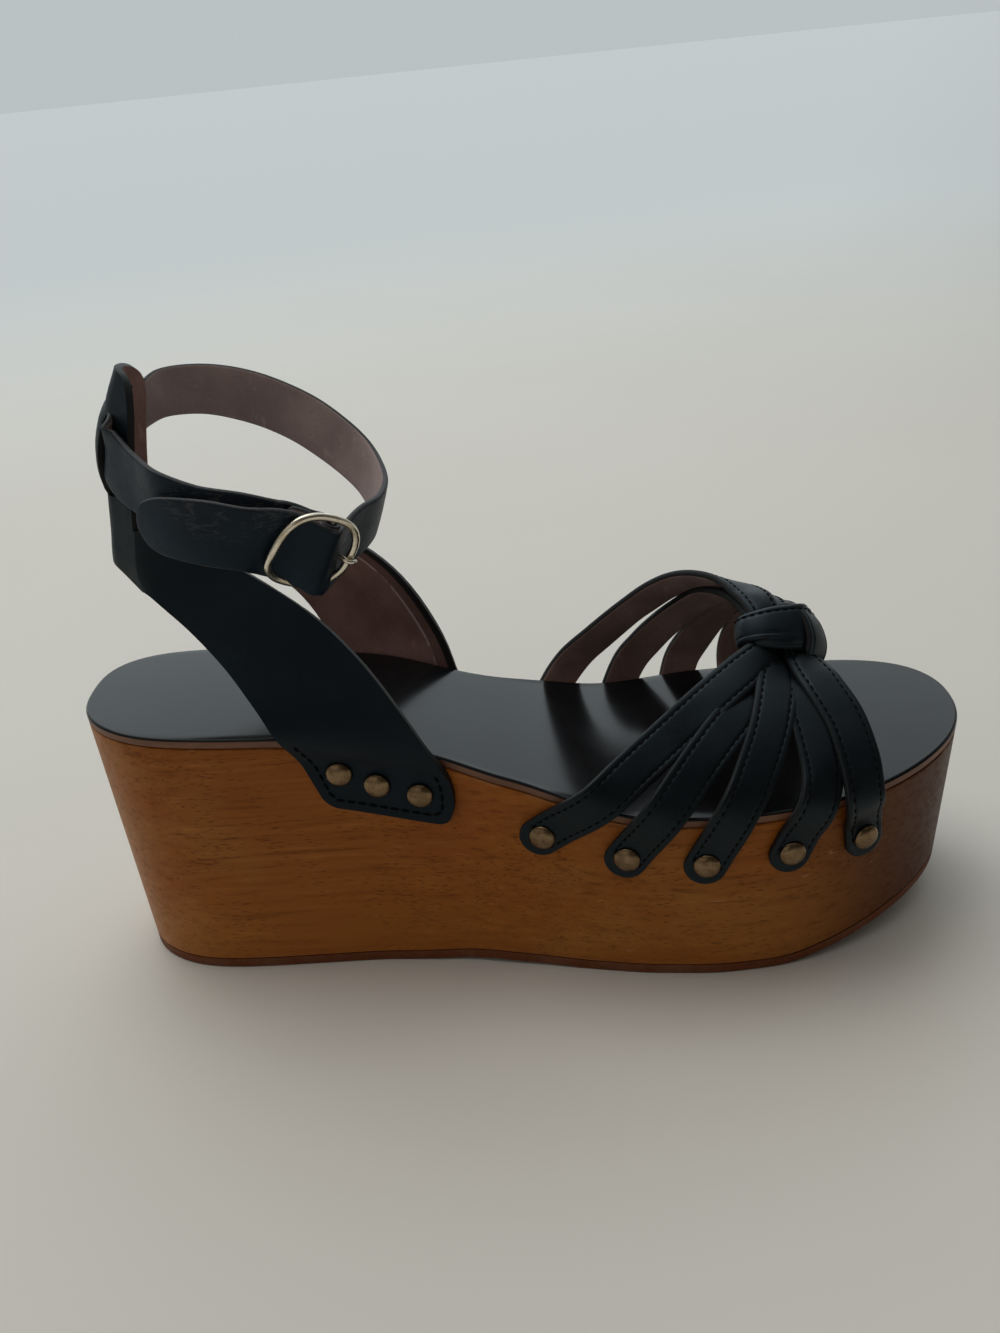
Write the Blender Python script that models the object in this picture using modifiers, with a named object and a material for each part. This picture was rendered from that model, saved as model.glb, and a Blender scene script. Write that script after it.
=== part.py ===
"""Right-foot platform wedge sandal: a wooden platform with a leather footbed and a rubber
tread, a knotted strap vamp, a heel sling with a slotted tab, and a buckled ankle strap.

Toe +X, up +Z, inner side of the foot +Y. Tables are in millimetres, measured from the back
of the heel on the footbed; the root empty carries them to the assembly's own origin, the
middle of its footprint on the ground.
"""

import math

import bmesh
import bpy
from mathutils import Matrix, Vector

MM = 0.001
GAP = 0.3

SOLE_LENGTH = 250.0
HEEL_ROUND = 40.0
TOE_ROUND = 70.0
HEEL_UNDERCUT = 4.5
TOE_UNDERCUT = 4.7
SIDE_TAPER = 2.0
INSOLE_THICK = 3.0
RUBBER_THICK = 3.0
SOLE_STATIONS = 40

VAMP_LEATHER = 2.2
VAMP_STRAP_WIDTH = 10.4
VAMP_GATHERED_WIDTH = 7.0
QUARTER_LEATHER = 2.2
ANKLE_LEATHER = 1.6

RIVET_HEAD_RADIUS = 3.7
RIVET_DOME = 1.9
RIVET_SHANK_RADIUS = 1.1
RIVET_LENGTH = 9.0
RIVET_CLEARANCE = 0.3

# Middle of the footprint, in the tables' own coordinates.
ORIGIN = Vector((125.0, -1.0, 0.0))

# Footbed plan: station x, centre line y, half breadth before the ends are rounded.
PLAN = (
    (0.0, 5.0, 29.8),
    (20.0, 3.0, 29.9),
    (40.0, 2.0, 29.8),
    (60.0, 0.8, 29.0),
    (80.0, -0.8, 27.9),
    (100.0, -2.9, 27.9),
    (120.0, -4.2, 30.9),
    (140.0, -3.4, 36.6),
    (160.0, -2.0, 42.2),
    (180.0, -1.3, 44.5),
    (200.0, -0.1, 44.5),
    (220.0, 2.3, 44.5),
    (250.0, 6.5, 44.5),
)

# Side profile of the footbed: station x, height of its upper face.
FOOTBED = (
    (0.0, 80.5),
    (40.0, 78.0),
    (80.0, 75.0),
    (120.0, 63.3),
    (160.0, 52.6),
    (200.0, 52.8),
    (250.0, 56.2),
)

# Side profile of the tread: x, height. Heel and forefoot are flat on the ground,
# the arch is just clear of it and the toe springs up.
TREAD = (
    (0.0, 0.0),
    (82.0, 0.0),
    (112.0, 0.9),
    (142.0, 0.0),
    (190.0, 0.0),
    (206.0, 2.6),
    (225.0, 7.2),
    (250.0, 12.5),
)

# Vamp rivets along each side wall: x, height.
VAMP_RIVETS = ((129.0, 46.6), (151.0, 41.2), (171.5, 39.3), (193.6, 40.6), (213.6, 40.0))

# Middle line of each vamp strap from the outer wall through the knot to the inner wall.
# The two wall points of each strap follow the rivets; these are the free points between.
VAMP_OUTER = (
    ((143.0, -43.3, 55.8), (152.6, -38.5, 64.0), (163.8, -31.0, 71.0), (175.0, -24.0, 77.4)),
    ((160.0, -46.8, 54.4), (168.5, -41.0, 62.6), (176.5, -34.0, 69.2), (185.0, -25.0, 74.8)),
    ((178.7, -48.1, 53.6), (184.6, -42.4, 61.8), (190.3, -33.5, 70.4), (194.0, -23.0, 76.6)),
    ((200.0, -46.8, 54.0), (202.6, -41.5, 61.8), (202.0, -33.0, 70.0), (200.6, -23.0, 76.4)),
    ((213.2, -44.2, 54.0), (212.4, -39.0, 63.4), (210.4, -31.0, 70.6), (206.4, -21.5, 76.6)),
)
VAMP_INNER = (
    ((187.6, 14.0, 94.0), (174.4, 27.4, 91.0), (160.2, 34.4, 80.6), (144.5, 36.6, 66.5), (137.2, 35.6, 58.4)),
    ((191.4, 13.6, 91.4), (181.6, 27.4, 86.4), (169.0, 37.0, 75.0), (160.6, 40.6, 64.6), (156.8, 41.0, 56.4)),
    ((196.6, 13.4, 89.4), (191.0, 27.0, 84.0), (183.2, 37.6, 73.6), (178.0, 43.4, 63.6), (174.6, 45.2, 55.2)),
    ((202.0, 12.6, 87.4), (201.8, 25.0, 82.0), (199.4, 36.0, 72.8), (197.0, 43.2, 63.0), (195.4, 46.0, 55.0)),
    ((207.4, 12.0, 84.6), (211.0, 23.0, 78.6), (213.2, 33.0, 70.6), (214.6, 40.4, 62.0), (215.0, 43.6, 54.8)),
)
# Point under each strap that its face turns away from, for a strap point at x.
VAMP_HEART_X = 190.0
VAMP_HEART = (6.0, 46.0)

# Knot: its middle, the way the gathered straps run through it from the outer side to the
# inner side, and the way its face looks. Half sizes are across and out of the bundle.
KNOT_CENTRE = Vector((197.4, -3.4, 84.8))
KNOT_RUN = Vector((0.06, 0.66, 0.75))
KNOT_OUT = Vector((0.30, -0.72, 0.62))
KNOT_HALF_LONG = 11.4
KNOT_HALF_HIGH = 7.4
KNOT_WIDTH = 10.6
KNOT_LEATHER = 2.0
KNOT_SIDES = 28
KNOT_REACH = 14.0

# Where each strap lies in the knot: across the bundle and out from its middle.
VAMP_GATHER = ((-5.6, 1.2), (-2.8, -0.6), (0.0, 1.3), (2.8, -0.6), (5.6, 1.2))

# Heel sling, from the outer foot round the heel to the inner foot: lower edge, upper edge.
# In a wall row each edge is x and height on the side of the platform.
SLING_OUTER_WALL = (
    ((70.5, 55.6), (103.6, 48.4)),
    ((67.6, 63.5), (105.8, 55.6)),
    ((64.6, 71.5), (105.0, 63.2)),
)
SLING_OUTER = (
    ((60.2, -32.6, 80.2), (100.6, -34.6, 72.6)),
    ((55.4, -29.4, 87.6), (94.4, -33.0, 84.6)),
    ((48.4, -22.6, 95.6), (85.8, -28.6, 97.4)),
    ((39.6, -14.4, 102.6), (74.6, -21.6, 108.0)),
    ((31.8, -7.8, 107.6), (60.2, -12.4, 115.8)),
    ((27.4, -4.6, 110.8), (46.0, -6.2, 122.4)),
)
SLING_INNER = (
    ((26.0, 21.4, 111.0), (44.0, 25.0, 122.6)),
    ((31.0, 25.4, 108.0), (58.6, 29.8, 117.6)),
    ((39.4, 29.6, 103.0), (72.6, 32.0, 112.6)),
    ((48.4, 32.4, 95.4), (83.4, 31.4, 106.4)),
    ((56.4, 33.0, 88.4), (93.4, 29.6, 95.4)),
    ((63.6, 31.6, 79.8), (101.6, 28.4, 79.2)),
)
SLING_INNER_WALL = (
    ((67.8, 71.8), (105.6, 66.0)),
    ((71.6, 64.0), (107.6, 58.0)),
    ((75.0, 56.4), (106.8, 49.6)),
)
SLING_LEVELS = 6
TAB_LEVELS = 13

# Heel: how far forward the very back stands at each height.
HEEL_LINE = (
    (107.0, 16.6),
    (118.0, 15.2),
    (128.0, 16.6),
    (141.0, 18.4),
    (153.0, 20.5),
    (162.0, 22.6),
    (172.0, 27.4),
)
# The sling wraps the heel in a tight bend and then runs straight each way: for the outer and
# the inner side, the angle that it turns through.
HEEL_CENTRE_Y = 8.5
HEEL_BEND_RADIUS = 6.0
HEEL_TURN_OUTER = 49.0
HEEL_TURN_INNER = 40.0

# Heel tab, laid flat: distances run along the leather from its middle.
TAB_HALF_WIDTH = 14.0
TAB_TOP = 172.2
TAB_SHOULDER = 130.0
TAB_FOOT_MIDDLE = 119.6
TAB_FOOT_SIDE = 112.4
SLIT_INSIDE = 3.0
SLIT_OUTSIDE = 9.0
SLIT_LOW = 141.5
SLIT_HIGH = 166.0
TAB_BULGE = 2.5

# Quarter rivets: x, height on the outer wall, then on the inner wall.
SLING_OUTER_RIVETS = ((75.2, 66.0), (85.2, 62.0), (96.6, 58.6))
SLING_INNER_RIVETS = ((80.0, 66.6), (90.0, 62.8), (101.4, 59.4))

# Ankle strap from behind the buckle back through the heel tab, then forward along the inner
# side and round the front of the ankle: lower edge point, upper edge point.
ANKLE_LONG = (
    ((58.4, -26.2, 132.6), (62.6, -27.8, 147.0)),
    ((48.4, -23.8, 137.4), (50.6, -24.8, 151.6)),
    ((39.0, -19.2, 140.8), (39.8, -19.8, 155.2)),
    ((30.4, -9.6, 143.8), (32.4, -10.0, 159.0)),
    ((26.8, -3.9, 144.9), (29.8, -3.9, 160.4)),
    ((23.3, -2.4, 145.3), (26.4, -2.4, 160.7)),
    ((20.9, -0.5, 145.6), (24.0, -0.5, 161.0)),
    ((20.6, 1.5, 145.8), (23.8, 1.5, 161.2)),
    ((20.6, 4.3, 146.1), (23.8, 4.3, 161.4)),
    ((20.2, 5.7, 146.3), (23.5, 5.7, 161.6)),
    ((19.7, 8.5, 146.6), (23.0, 8.5, 161.8)),
    ((20.3, 11.3, 146.9), (23.7, 11.3, 162.1)),
    ((20.8, 12.7, 147.1), (24.1, 12.7, 162.2)),
    ((21.0, 15.5, 147.4), (24.3, 15.5, 162.5)),
    ((21.4, 17.3, 147.7), (24.8, 17.3, 162.8)),
    ((23.4, 19.2, 148.1), (26.8, 19.2, 163.1)),
    ((26.1, 21.9, 148.9), (29.4, 21.9, 163.7)),
    ((32.6, 29.4, 151.8), (32.6, 29.4, 166.0)),
    ((43.0, 35.6, 150.2), (43.0, 35.8, 164.6)),
    ((55.0, 38.6, 145.6), (55.0, 39.2, 160.6)),
    ((67.5, 37.2, 140.2), (68.7, 38.6, 155.4)),
    ((77.6, 33.2, 133.4), (80.2, 35.4, 148.8)),
    ((84.2, 27.0, 127.6), (88.4, 29.0, 143.2)),
    ((87.0, 18.0, 123.6), (91.6, 19.4, 139.0)),
    ((87.8, 8.0, 121.4), (92.8, 9.0, 136.4)),
    ((86.8, -2.0, 120.2), (92.2, -1.6, 135.0)),
    ((83.6, -11.0, 119.4), (89.0, -11.6, 134.6)),
)
# Its loose end behind the buckle, down to a round tip.
ANKLE_TIP = (
    ((60.0, -31.2, 128.8), (63.6, -32.6, 142.6)),
    ((52.0, -30.2, 129.8), (54.0, -31.0, 145.0)),
    ((43.4, -26.6, 129.6), (44.0, -27.0, 144.8)),
    ((36.6, -22.0, 130.6), (36.8, -22.2, 143.4)),
    ((33.0, -19.0, 133.6), (33.0, -19.0, 140.2)),
)

# Buckle: its centre, the way the strap runs through it and the way it faces.
BUCKLE_CENTRE = Vector((77.0, -26.0, 127.7))
BUCKLE_ALONG = Vector((0.71, 0.53, -0.45))
BUCKLE_OUT = Vector((0.34, -0.86, -0.36))
BUCKLE_HALF_LENGTH = 10.6
BUCKLE_HALF_WIDTH = 11.4
BUCKLE_ROUNDNESS = 0.9
BUCKLE_WIRE_RADIUS = 1.15
BAR_DEPTH = 3.2
BAR_FORWARD = 1.0
# The strap runs nearer the frame's upper side, and a little askew in it.
STRAP_SHIFT = 1.2
STRAP_SKEW = 0.25
STRAP_HALF_WIDTH = 7.6

# The strap in the buckle, as distances along it and out from it: first the folded end, from
# its turned-back edge round the bar to the short layer, then the free end over the bar.
BUCKLE_FOLD = (
    (-11.0, -5.0),
    (-5.6, -4.7),
    (-2.6, -3.6),
    (-0.9, -1.9),
    (0.8, -0.95),
    (2.6, -1.6),
    (3.25, -3.2),
    (2.6, -4.8),
    (1.0, -5.45),
    (-3.0, -5.9),
    (-5.6, -6.7),
    (-11.0, -7.3),
)
BUCKLE_PASS = (
    (7.6, -2.5),
    (4.6, -0.9),
    (1.2, 1.15),
    (-2.2, -0.4),
    (-5.6, -2.5),
    (-11.0, -3.0),
)
# Prong, in the same way: along, across, out.
PRONG_PATH = (
    (3.2, 0.9, -2.4),
    (4.6, 0.9, -0.6),
    (6.4, 0.9, 1.1),
    (8.6, 0.9, 2.2),
    (10.6, 0.9, 2.4),
    (12.2, 0.9, 2.1),
)
PRONG_RADIUS = 0.8
PRONG_HOLE_RADIUS = 1.2


def make_collection(name, parent):
    group = bpy.data.collections.new(name)
    parent.children.link(group)
    return group


def make_material(name, colour, roughness, metallic=0.0):
    material = bpy.data.materials.new(name)
    material.use_nodes = True
    shader = material.node_tree.nodes["Principled BSDF"]
    shader.inputs["Base Color"].default_value = (*colour, 1.0)
    shader.inputs["Roughness"].default_value = roughness
    shader.inputs["Metallic"].default_value = metallic
    return material


def smooth_value(table, x, column=1):
    """Smooth curve through one column of a table, read at x: monotone between its rows."""
    rows = [(row[0], row[column]) for row in table]
    if x <= rows[0][0]:
        return rows[0][1]
    if x >= rows[-1][0]:
        return rows[-1][1]
    slopes = [(b[1] - a[1]) / (b[0] - a[0]) for a, b in zip(rows, rows[1:])]
    tangents = [slopes[0]]
    for before, after in zip(slopes, slopes[1:]):
        flat = before * after <= 0.0
        tangents.append(0.0 if flat else 2.0 * before * after / (before + after))
    tangents.append(slopes[-1])
    index = next(i for i in range(len(slopes)) if x <= rows[i + 1][0])
    (x0, y0), (x1, y1) = rows[index], rows[index + 1]
    width = x1 - x0
    u = (x - x0) / width
    start = tangents[index] * width
    end = tangents[index + 1] * width
    return (
        y0 * (2 * u**3 - 3 * u**2 + 1)
        + start * (u**3 - 2 * u**2 + u)
        + y1 * (3 * u**2 - 2 * u**3)
        + end * (u**3 - u**2)
    )


def smooth_path(points, steps):
    """Points along a Catmull-Rom curve through the given ones, steps to each span."""
    ends = [points[0] * 2 - points[1], *points, points[-1] * 2 - points[-2]]
    path = []
    for a, b, c, d in zip(ends, ends[1:], ends[2:], ends[3:]):
        for step in range(steps):
            u = step / steps
            bend = (2 * a - 5 * b + 4 * c - d) * u**2
            twist = (3 * b - a - 3 * c + d) * u**3
            path.append(0.5 * (2 * b + (c - a) * u + bend + twist))
    path.append(points[-1].copy())
    return path


def half_breadth(x):
    """Half breadth of the footbed with its rounded heel and toe."""
    breadth = smooth_value(PLAN, x, 2)
    if x < HEEL_ROUND:
        reach = (HEEL_ROUND - x) / HEEL_ROUND
        return breadth * (1.0 - reach**2.6) ** (1.0 / 2.6)
    if x > SOLE_LENGTH - TOE_ROUND:
        reach = (x - SOLE_LENGTH + TOE_ROUND) / TOE_ROUND
        return breadth * max(1.0 - reach**2.25, 0.0) ** (1.0 / 2.25)
    return breadth


def tread_x(station):
    """Where a footbed station comes down to on the tread, which is shorter at both ends."""
    return HEEL_UNDERCUT + station * (SOLE_LENGTH - HEEL_UNDERCUT - TOE_UNDERCUT) / SOLE_LENGTH


def sole_edges(station, height):
    """Outer and inner edge points of the sole, at a station and a height on its wall."""
    low = smooth_value(TREAD, tread_x(station))
    high = smooth_value(FOOTBED, station)
    rise = (height - low) / (high - low)
    x = tread_x(station) * (1.0 - rise) + station * rise
    centre = smooth_value(PLAN, station, 1)
    half = half_breadth(station) * (1.0 - SIDE_TAPER * (1.0 - rise) / 30.0)
    return Vector((x, centre - half, height)), Vector((x, centre + half, height))


def wall_point(x, height, side, proud=0.0):
    """Point on the side wall and its outward normal; side is -1 outer, +1 inner."""

    def edge_y(at_x, at_height):
        station = at_x
        for _ in range(4):
            edges = sole_edges(station, at_height)
            station += at_x - edges[0].x
        return edges[0 if side < 0 else 1].y

    slope = (edge_y(x + 0.5, height) - edge_y(x - 0.5, height)) / 1.0
    flare = (edge_y(x, height + 1.0) - edge_y(x, height - 1.0)) / 2.0
    normal = Vector((-slope, 1.0, -flare)).normalized() * side
    return Vector((x, edge_y(x, height), height)) + normal * proud, normal


def add_mesh(name, vertices, faces, material, group, parent):
    mesh = bpy.data.meshes.new(name)
    mesh.from_pydata([tuple(Vector(v) * MM) for v in vertices], [], faces)
    mesh.materials.append(material)
    shape = bmesh.new()
    shape.from_mesh(mesh)
    bmesh.ops.recalc_face_normals(shape, faces=shape.faces)
    shape.to_mesh(mesh)
    shape.free()
    thing = bpy.data.objects.new(name, mesh)
    thing.parent = parent
    group.objects.link(thing)
    return thing


def loft(name, sections, material, group, parent):
    """Closed skin through sections of equal length, each a closed ring of points."""
    count = len(sections[0])
    vertices = [point for section in sections for point in section]
    faces = []
    for ring in range(len(sections) - 1):
        for side in range(count):
            after = (side + 1) % count
            base, above = ring * count, (ring + 1) * count
            faces.append((base + side, base + after, above + after, above + side))
    faces.append(tuple(range(count)))
    faces.append(tuple(range(len(vertices) - count, len(vertices))))
    return add_mesh(name, vertices, faces, material, group, parent)


def sheet(name, rows, thickness, material, group, parent):
    """Open grid of rows of points, given its thickness by Solidify about its middle."""
    count = len(rows[0])
    vertices = [point for row in rows for point in row]
    faces = []
    for row in range(len(rows) - 1):
        for column in range(count - 1):
            corner = row * count + column
            faces.append((corner, corner + 1, corner + count + 1, corner + count))
    thing = add_mesh(name, vertices, faces, material, group, parent)
    solid = thing.modifiers.new("thickness", "SOLIDIFY")
    solid.thickness = thickness * MM
    solid.offset = 0.0
    solid.use_even_offset = True
    return thing


def cut(thing, cutter, operation="DIFFERENCE"):
    boolean = thing.modifiers.new(cutter.name, "BOOLEAN")
    boolean.operation = operation
    boolean.object = cutter
    boolean.solver = "EXACT"
    boolean.use_self = operation == "UNION"


def make_helper(thing):
    thing.hide_render = True
    thing.display_type = "WIRE"
    return thing


def sole_slab(name, low, high, material, group, parent):
    """Slice of the platform between two heights given as functions of the station."""
    sections = []
    for step in range(SOLE_STATIONS + 1):
        turn = math.pi * step / SOLE_STATIONS
        station = SOLE_LENGTH * (1.0 - math.cos(turn)) / 2.0
        station = min(max(station, 0.15), SOLE_LENGTH - 0.15)
        outer_low, inner_low = sole_edges(station, low(station))
        outer_high, inner_high = sole_edges(station, high(station))
        sections.append((outer_low, outer_high, inner_high, inner_low))
    return loft(name, sections, material, group, parent)


def build_sole(materials, group, parent):
    def tread(station):
        return smooth_value(TREAD, tread_x(station))

    def footbed(station):
        return smooth_value(FOOTBED, station)

    sole_slab("outsole", tread, lambda s: tread(s) + RUBBER_THICK, materials["rubber"], group, parent)
    wood = sole_slab(
        "wood_platform",
        lambda s: tread(s) + RUBBER_THICK + GAP,
        lambda s: footbed(s) - INSOLE_THICK - GAP,
        materials["wood"],
        group,
        parent,
    )
    sole_slab("insole", lambda s: footbed(s) - INSOLE_THICK, footbed, materials["insole"], group, parent)
    return wood


def rivet_places():
    places = []
    for label, rows, side in (
        ("rivet_vamp_outer", VAMP_RIVETS, -1),
        ("rivet_vamp_inner", VAMP_RIVETS, 1),
        ("rivet_sling_outer", SLING_OUTER_RIVETS, -1),
        ("rivet_sling_inner", SLING_INNER_RIVETS, 1),
    ):
        for number, (x, height) in enumerate(rows, 1):
            point, normal = wall_point(x, height, side, GAP + VAMP_LEATHER + GAP)
            places.append((f"{label}_{number}", point, normal))
    return places


def build_rivets(places, material, group, parent):
    """Domed nails, turned once and copied, each with its head on the leather."""
    profile = (
        (0.0, RIVET_DOME),
        (RIVET_HEAD_RADIUS * 0.5, RIVET_DOME * 0.84),
        (RIVET_HEAD_RADIUS * 0.87, RIVET_DOME * 0.42),
        (RIVET_HEAD_RADIUS, 0.0),
        (RIVET_SHANK_RADIUS, 0.0),
        (RIVET_SHANK_RADIUS, -RIVET_LENGTH),
        (0.0, -RIVET_LENGTH),
    )
    mesh = bpy.data.meshes.new("rivet")
    links = [(i, i + 1) for i in range(len(profile) - 1)]
    mesh.from_pydata([(x * MM, 0.0, z * MM) for x, z in profile], links, [])
    mesh.materials.append(material)
    for name, point, normal in places:
        rivet = bpy.data.objects.new(name, mesh)
        rivet.parent = parent
        rivet.location = point * MM
        rivet.rotation_euler = normal.to_track_quat("Z", "Y").to_euler()
        group.objects.link(rivet)
        turn = rivet.modifiers.new("turned", "SCREW")
        turn.steps = 12
        turn.render_steps = 12
        turn.use_merge_vertices = True
        turn.merge_threshold = 0.00001


def build_rivet_holes(places, group, parent):
    """One cutter with a cylinder for each nail, a little wider and deeper than its shank."""
    shape = bmesh.new()
    above = RIVET_DOME
    depth = RIVET_LENGTH + 2 * RIVET_CLEARANCE
    radius = (RIVET_SHANK_RADIUS + RIVET_CLEARANCE) * MM
    for _, point, normal in places:
        middle = point + normal * (above - depth) / 2.0
        place = Matrix.Translation(middle * MM) @ normal.to_track_quat("Z", "Y").to_matrix().to_4x4()
        bmesh.ops.create_cone(
            shape,
            cap_ends=True,
            segments=8,
            radius1=radius,
            radius2=radius,
            depth=(above + depth) * MM,
            matrix=place,
        )
    mesh = bpy.data.meshes.new("rivet_holes")
    shape.to_mesh(mesh)
    shape.free()
    holes = bpy.data.objects.new("rivet_holes", mesh)
    holes.parent = parent
    group.objects.link(holes)
    return make_helper(holes)


def strap_rows(points, normals, widths):
    """Pairs of edge points of a strap along its middle line, with round ends."""
    lengths = [0.0]
    for a, b in zip(points, points[1:]):
        lengths.append(lengths[-1] + (b - a).length)
    rows = []
    for index, point in enumerate(points):
        before = points[max(index - 1, 0)]
        after = points[min(index + 1, len(points) - 1)]
        along = (after - before).normalized()
        across = normals[index].cross(along).normalized()
        half = widths[index] / 2.0
        tip = min(lengths[index], lengths[-1] - lengths[index])
        if tip < half:
            half = math.sqrt(max(half**2 - (half - tip) ** 2, 1.2))
        rows.append((point - across * half, point, point + across * half))
    return rows


def knot_axes():
    run = KNOT_RUN.normalized()
    out = (KNOT_OUT - run * KNOT_OUT.dot(run)).normalized()
    return run.cross(out), run, out


def knot_point(across, along, outward):
    across_axis, run, out = knot_axes()
    return KNOT_CENTRE + across_axis * across + run * along + out * outward


def vamp_strap_line(number):
    """Middle line and face normals of one vamp strap, wall to wall through the knot."""
    x, height = VAMP_RIVETS[number]
    proud = GAP + VAMP_LEATHER / 2.0
    ends = []
    for side, target in ((-1, VAMP_OUTER[number][0]), (1, VAMP_INNER[number][-1])):
        rivet, _ = wall_point(x, height, side, proud)
        heading = Vector((target[0] - rivet.x, 0.0, target[2] - rivet.z)).normalized()
        tip, _ = wall_point(x - heading.x * 6.6, height - heading.z * 6.6, side, proud)
        near, _ = wall_point(x + heading.x * 5.0, height + heading.z * 5.0, side, proud)
        ends.append((tip, rivet, near))
    across, outward = VAMP_GATHER[number]
    half = KNOT_WIDTH / 2.0
    line = [
        *ends[0],
        *map(Vector, VAMP_OUTER[number]),
        *[knot_point(across, along, outward) for along in (-half - 1.0, 0.0, half + 1.0)],
        *map(Vector, VAMP_INNER[number]),
        *reversed(ends[1]),
    ]
    path = smooth_path(line, 2)
    tip_steps = [path[0] + (path[1] - path[0]) * f for f in (0.06, 0.3)]
    end_steps = [path[-1] + (path[-2] - path[-1]) * f for f in (0.3, 0.06)]
    path = [*tip_steps, *path[1:-1], *end_steps]
    return path, [vamp_normal(point) for point in path]


def ease(u):
    u = min(max(u, 0.0), 1.0)
    return u * u * (3.0 - 2.0 * u)


def vamp_normal(point):
    """Way a vamp strap faces: flat on the wall, then round the foot, then as the knot faces."""
    side = -1 if point.y < 0.0 else 1
    _, wall_normal = wall_point(point.x, min(point.z, 50.0), side)
    heart = Vector(((point.x + VAMP_HEART_X) / 2.0, *VAMP_HEART))
    round_normal = (point - heart).normalized()
    past_knot = (point - KNOT_CENTRE).dot(knot_axes()[1])
    near_knot = ease(1.5 - (point - KNOT_CENTRE).length / KNOT_REACH) * ease((9.0 - past_knot) / 7.0)
    normal = round_normal.lerp(knot_axes()[2], near_knot)
    lift = ease((point.z - smooth_value(FOOTBED, point.x) + 1.0) / 14.0)
    return wall_normal.lerp(normal, lift).normalized()


def vamp_width(point):
    """Strap width: narrower where the five straps are gathered in the knot."""
    spread = ease(((point - KNOT_CENTRE).length - KNOT_WIDTH / 2.0) / KNOT_REACH)
    return VAMP_GATHERED_WIDTH + (VAMP_STRAP_WIDTH - VAMP_GATHERED_WIDTH) * spread


def knot_tube(name, half_long, half_high, width, material, group, parent, shift=0.0):
    """Oblong drum round the bundle, with its flat ends across the straps."""
    sections = []
    for end in (-0.5, 0.5):
        section = []
        for step in range(KNOT_SIDES):
            angle = 2.0 * math.pi * step / KNOT_SIDES
            along = end * width + shift
            section.append(knot_point(half_long * math.cos(angle), along, half_high * math.sin(angle)))
        sections.append(section)
    return loft(name, sections, material, group, parent)


def build_vamp(holes, materials, group, helpers, parent):
    """Five straps and their gathered middle, as one piece, trimmed to leave room for the knot."""
    leather = materials["leather"]
    straps = []
    for number in range(len(VAMP_RIVETS)):
        path, normals = vamp_strap_line(number)
        rows = strap_rows(path, normals, [vamp_width(point) for point in path])
        name = "vamp" if number == 0 else f"vamp_strap_{number + 1}"
        straps.append(sheet(name, rows, VAMP_LEATHER, leather, helpers if number else group, parent))
    inside_long = KNOT_HALF_LONG - KNOT_LEATHER - GAP
    inside_high = KNOT_HALF_HIGH - KNOT_LEATHER - GAP
    core_size = (inside_long - 0.1, inside_high - 0.1, KNOT_WIDTH + 2.0)
    core = knot_tube("vamp_gather", *core_size, leather, helpers, parent)
    vamp = straps[0]
    for piece in (core, *straps[1:]):
        cut(vamp, make_helper(piece), "UNION")
    cut(vamp, holes)
    room = KNOT_WIDTH + 2 * GAP
    collar = knot_tube("knot_room", 30.0, 30.0, room, leather, helpers, parent)
    inside = knot_tube("knot_inside", inside_long, inside_high, room + 4.0, leather, helpers, parent)
    cut(collar, make_helper(inside))
    cut(vamp, make_helper(collar))
    return vamp


def build_knot(materials, group, helpers, parent):
    """Band round the gathered straps."""
    leather = materials["leather"]
    knot = knot_tube("knot", KNOT_HALF_LONG, KNOT_HALF_HIGH, KNOT_WIDTH, leather, group, parent)
    inner_long = KNOT_HALF_LONG - KNOT_LEATHER
    inner_high = KNOT_HALF_HIGH - KNOT_LEATHER
    bore = knot_tube("knot_bore", inner_long, inner_high, KNOT_WIDTH + 4.0, leather, helpers, parent)
    cut(knot, make_helper(bore))


def sling_row(low, high):
    low, high = Vector(low), Vector(high)
    return [low.lerp(high, level / (SLING_LEVELS - 1)) for level in range(SLING_LEVELS)]


def heel_point(along, height, out=0.0):
    """Point of the sling near the heel, at a distance along the leather from its middle."""
    reach = abs(along)
    turn = math.radians(HEEL_TURN_OUTER if along < 0.0 else HEEL_TURN_INNER)
    bend = min(reach / HEEL_BEND_RADIUS, turn)
    straight = max(reach - HEEL_BEND_RADIUS * turn, 0.0)
    radius = HEEL_BEND_RADIUS + out
    forward = HEEL_BEND_RADIUS - radius * math.cos(bend) + straight * math.sin(turn)
    sideways = radius * math.sin(bend) + straight * math.cos(turn)
    y = HEEL_CENTRE_Y + math.copysign(sideways, along)
    return Vector((smooth_value(HEEL_LINE, height) + forward, y, height))


def tab_row(along):
    """Upright row of the sling at the heel; inside the tab it runs up to its round top."""
    reach = min(abs(along), TAB_HALF_WIDTH)
    round_top = TAB_TOP - TAB_HALF_WIDTH + math.sqrt(TAB_HALF_WIDTH**2 - reach**2)
    top = round_top if abs(along) < TAB_HALF_WIDTH else TAB_SHOULDER
    foot = TAB_FOOT_MIDDLE + (TAB_FOOT_SIDE - TAB_FOOT_MIDDLE) * (reach / TAB_HALF_WIDTH) ** 1.5
    row = []
    for level in range(TAB_LEVELS):
        z = foot + (top - foot) * level / (TAB_LEVELS - 1)
        middle = (SLIT_LOW + SLIT_HIGH) / 2.0
        rise = max(1.0 - (abs(z - middle) / ((SLIT_HIGH - SLIT_LOW) / 2.0)) ** 6, 0.0)
        between = abs(along) < (SLIT_INSIDE + SLIT_OUTSIDE) / 2.0
        row.append(heel_point(along, z, TAB_BULGE * rise if between else 0.0))
    return row


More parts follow.
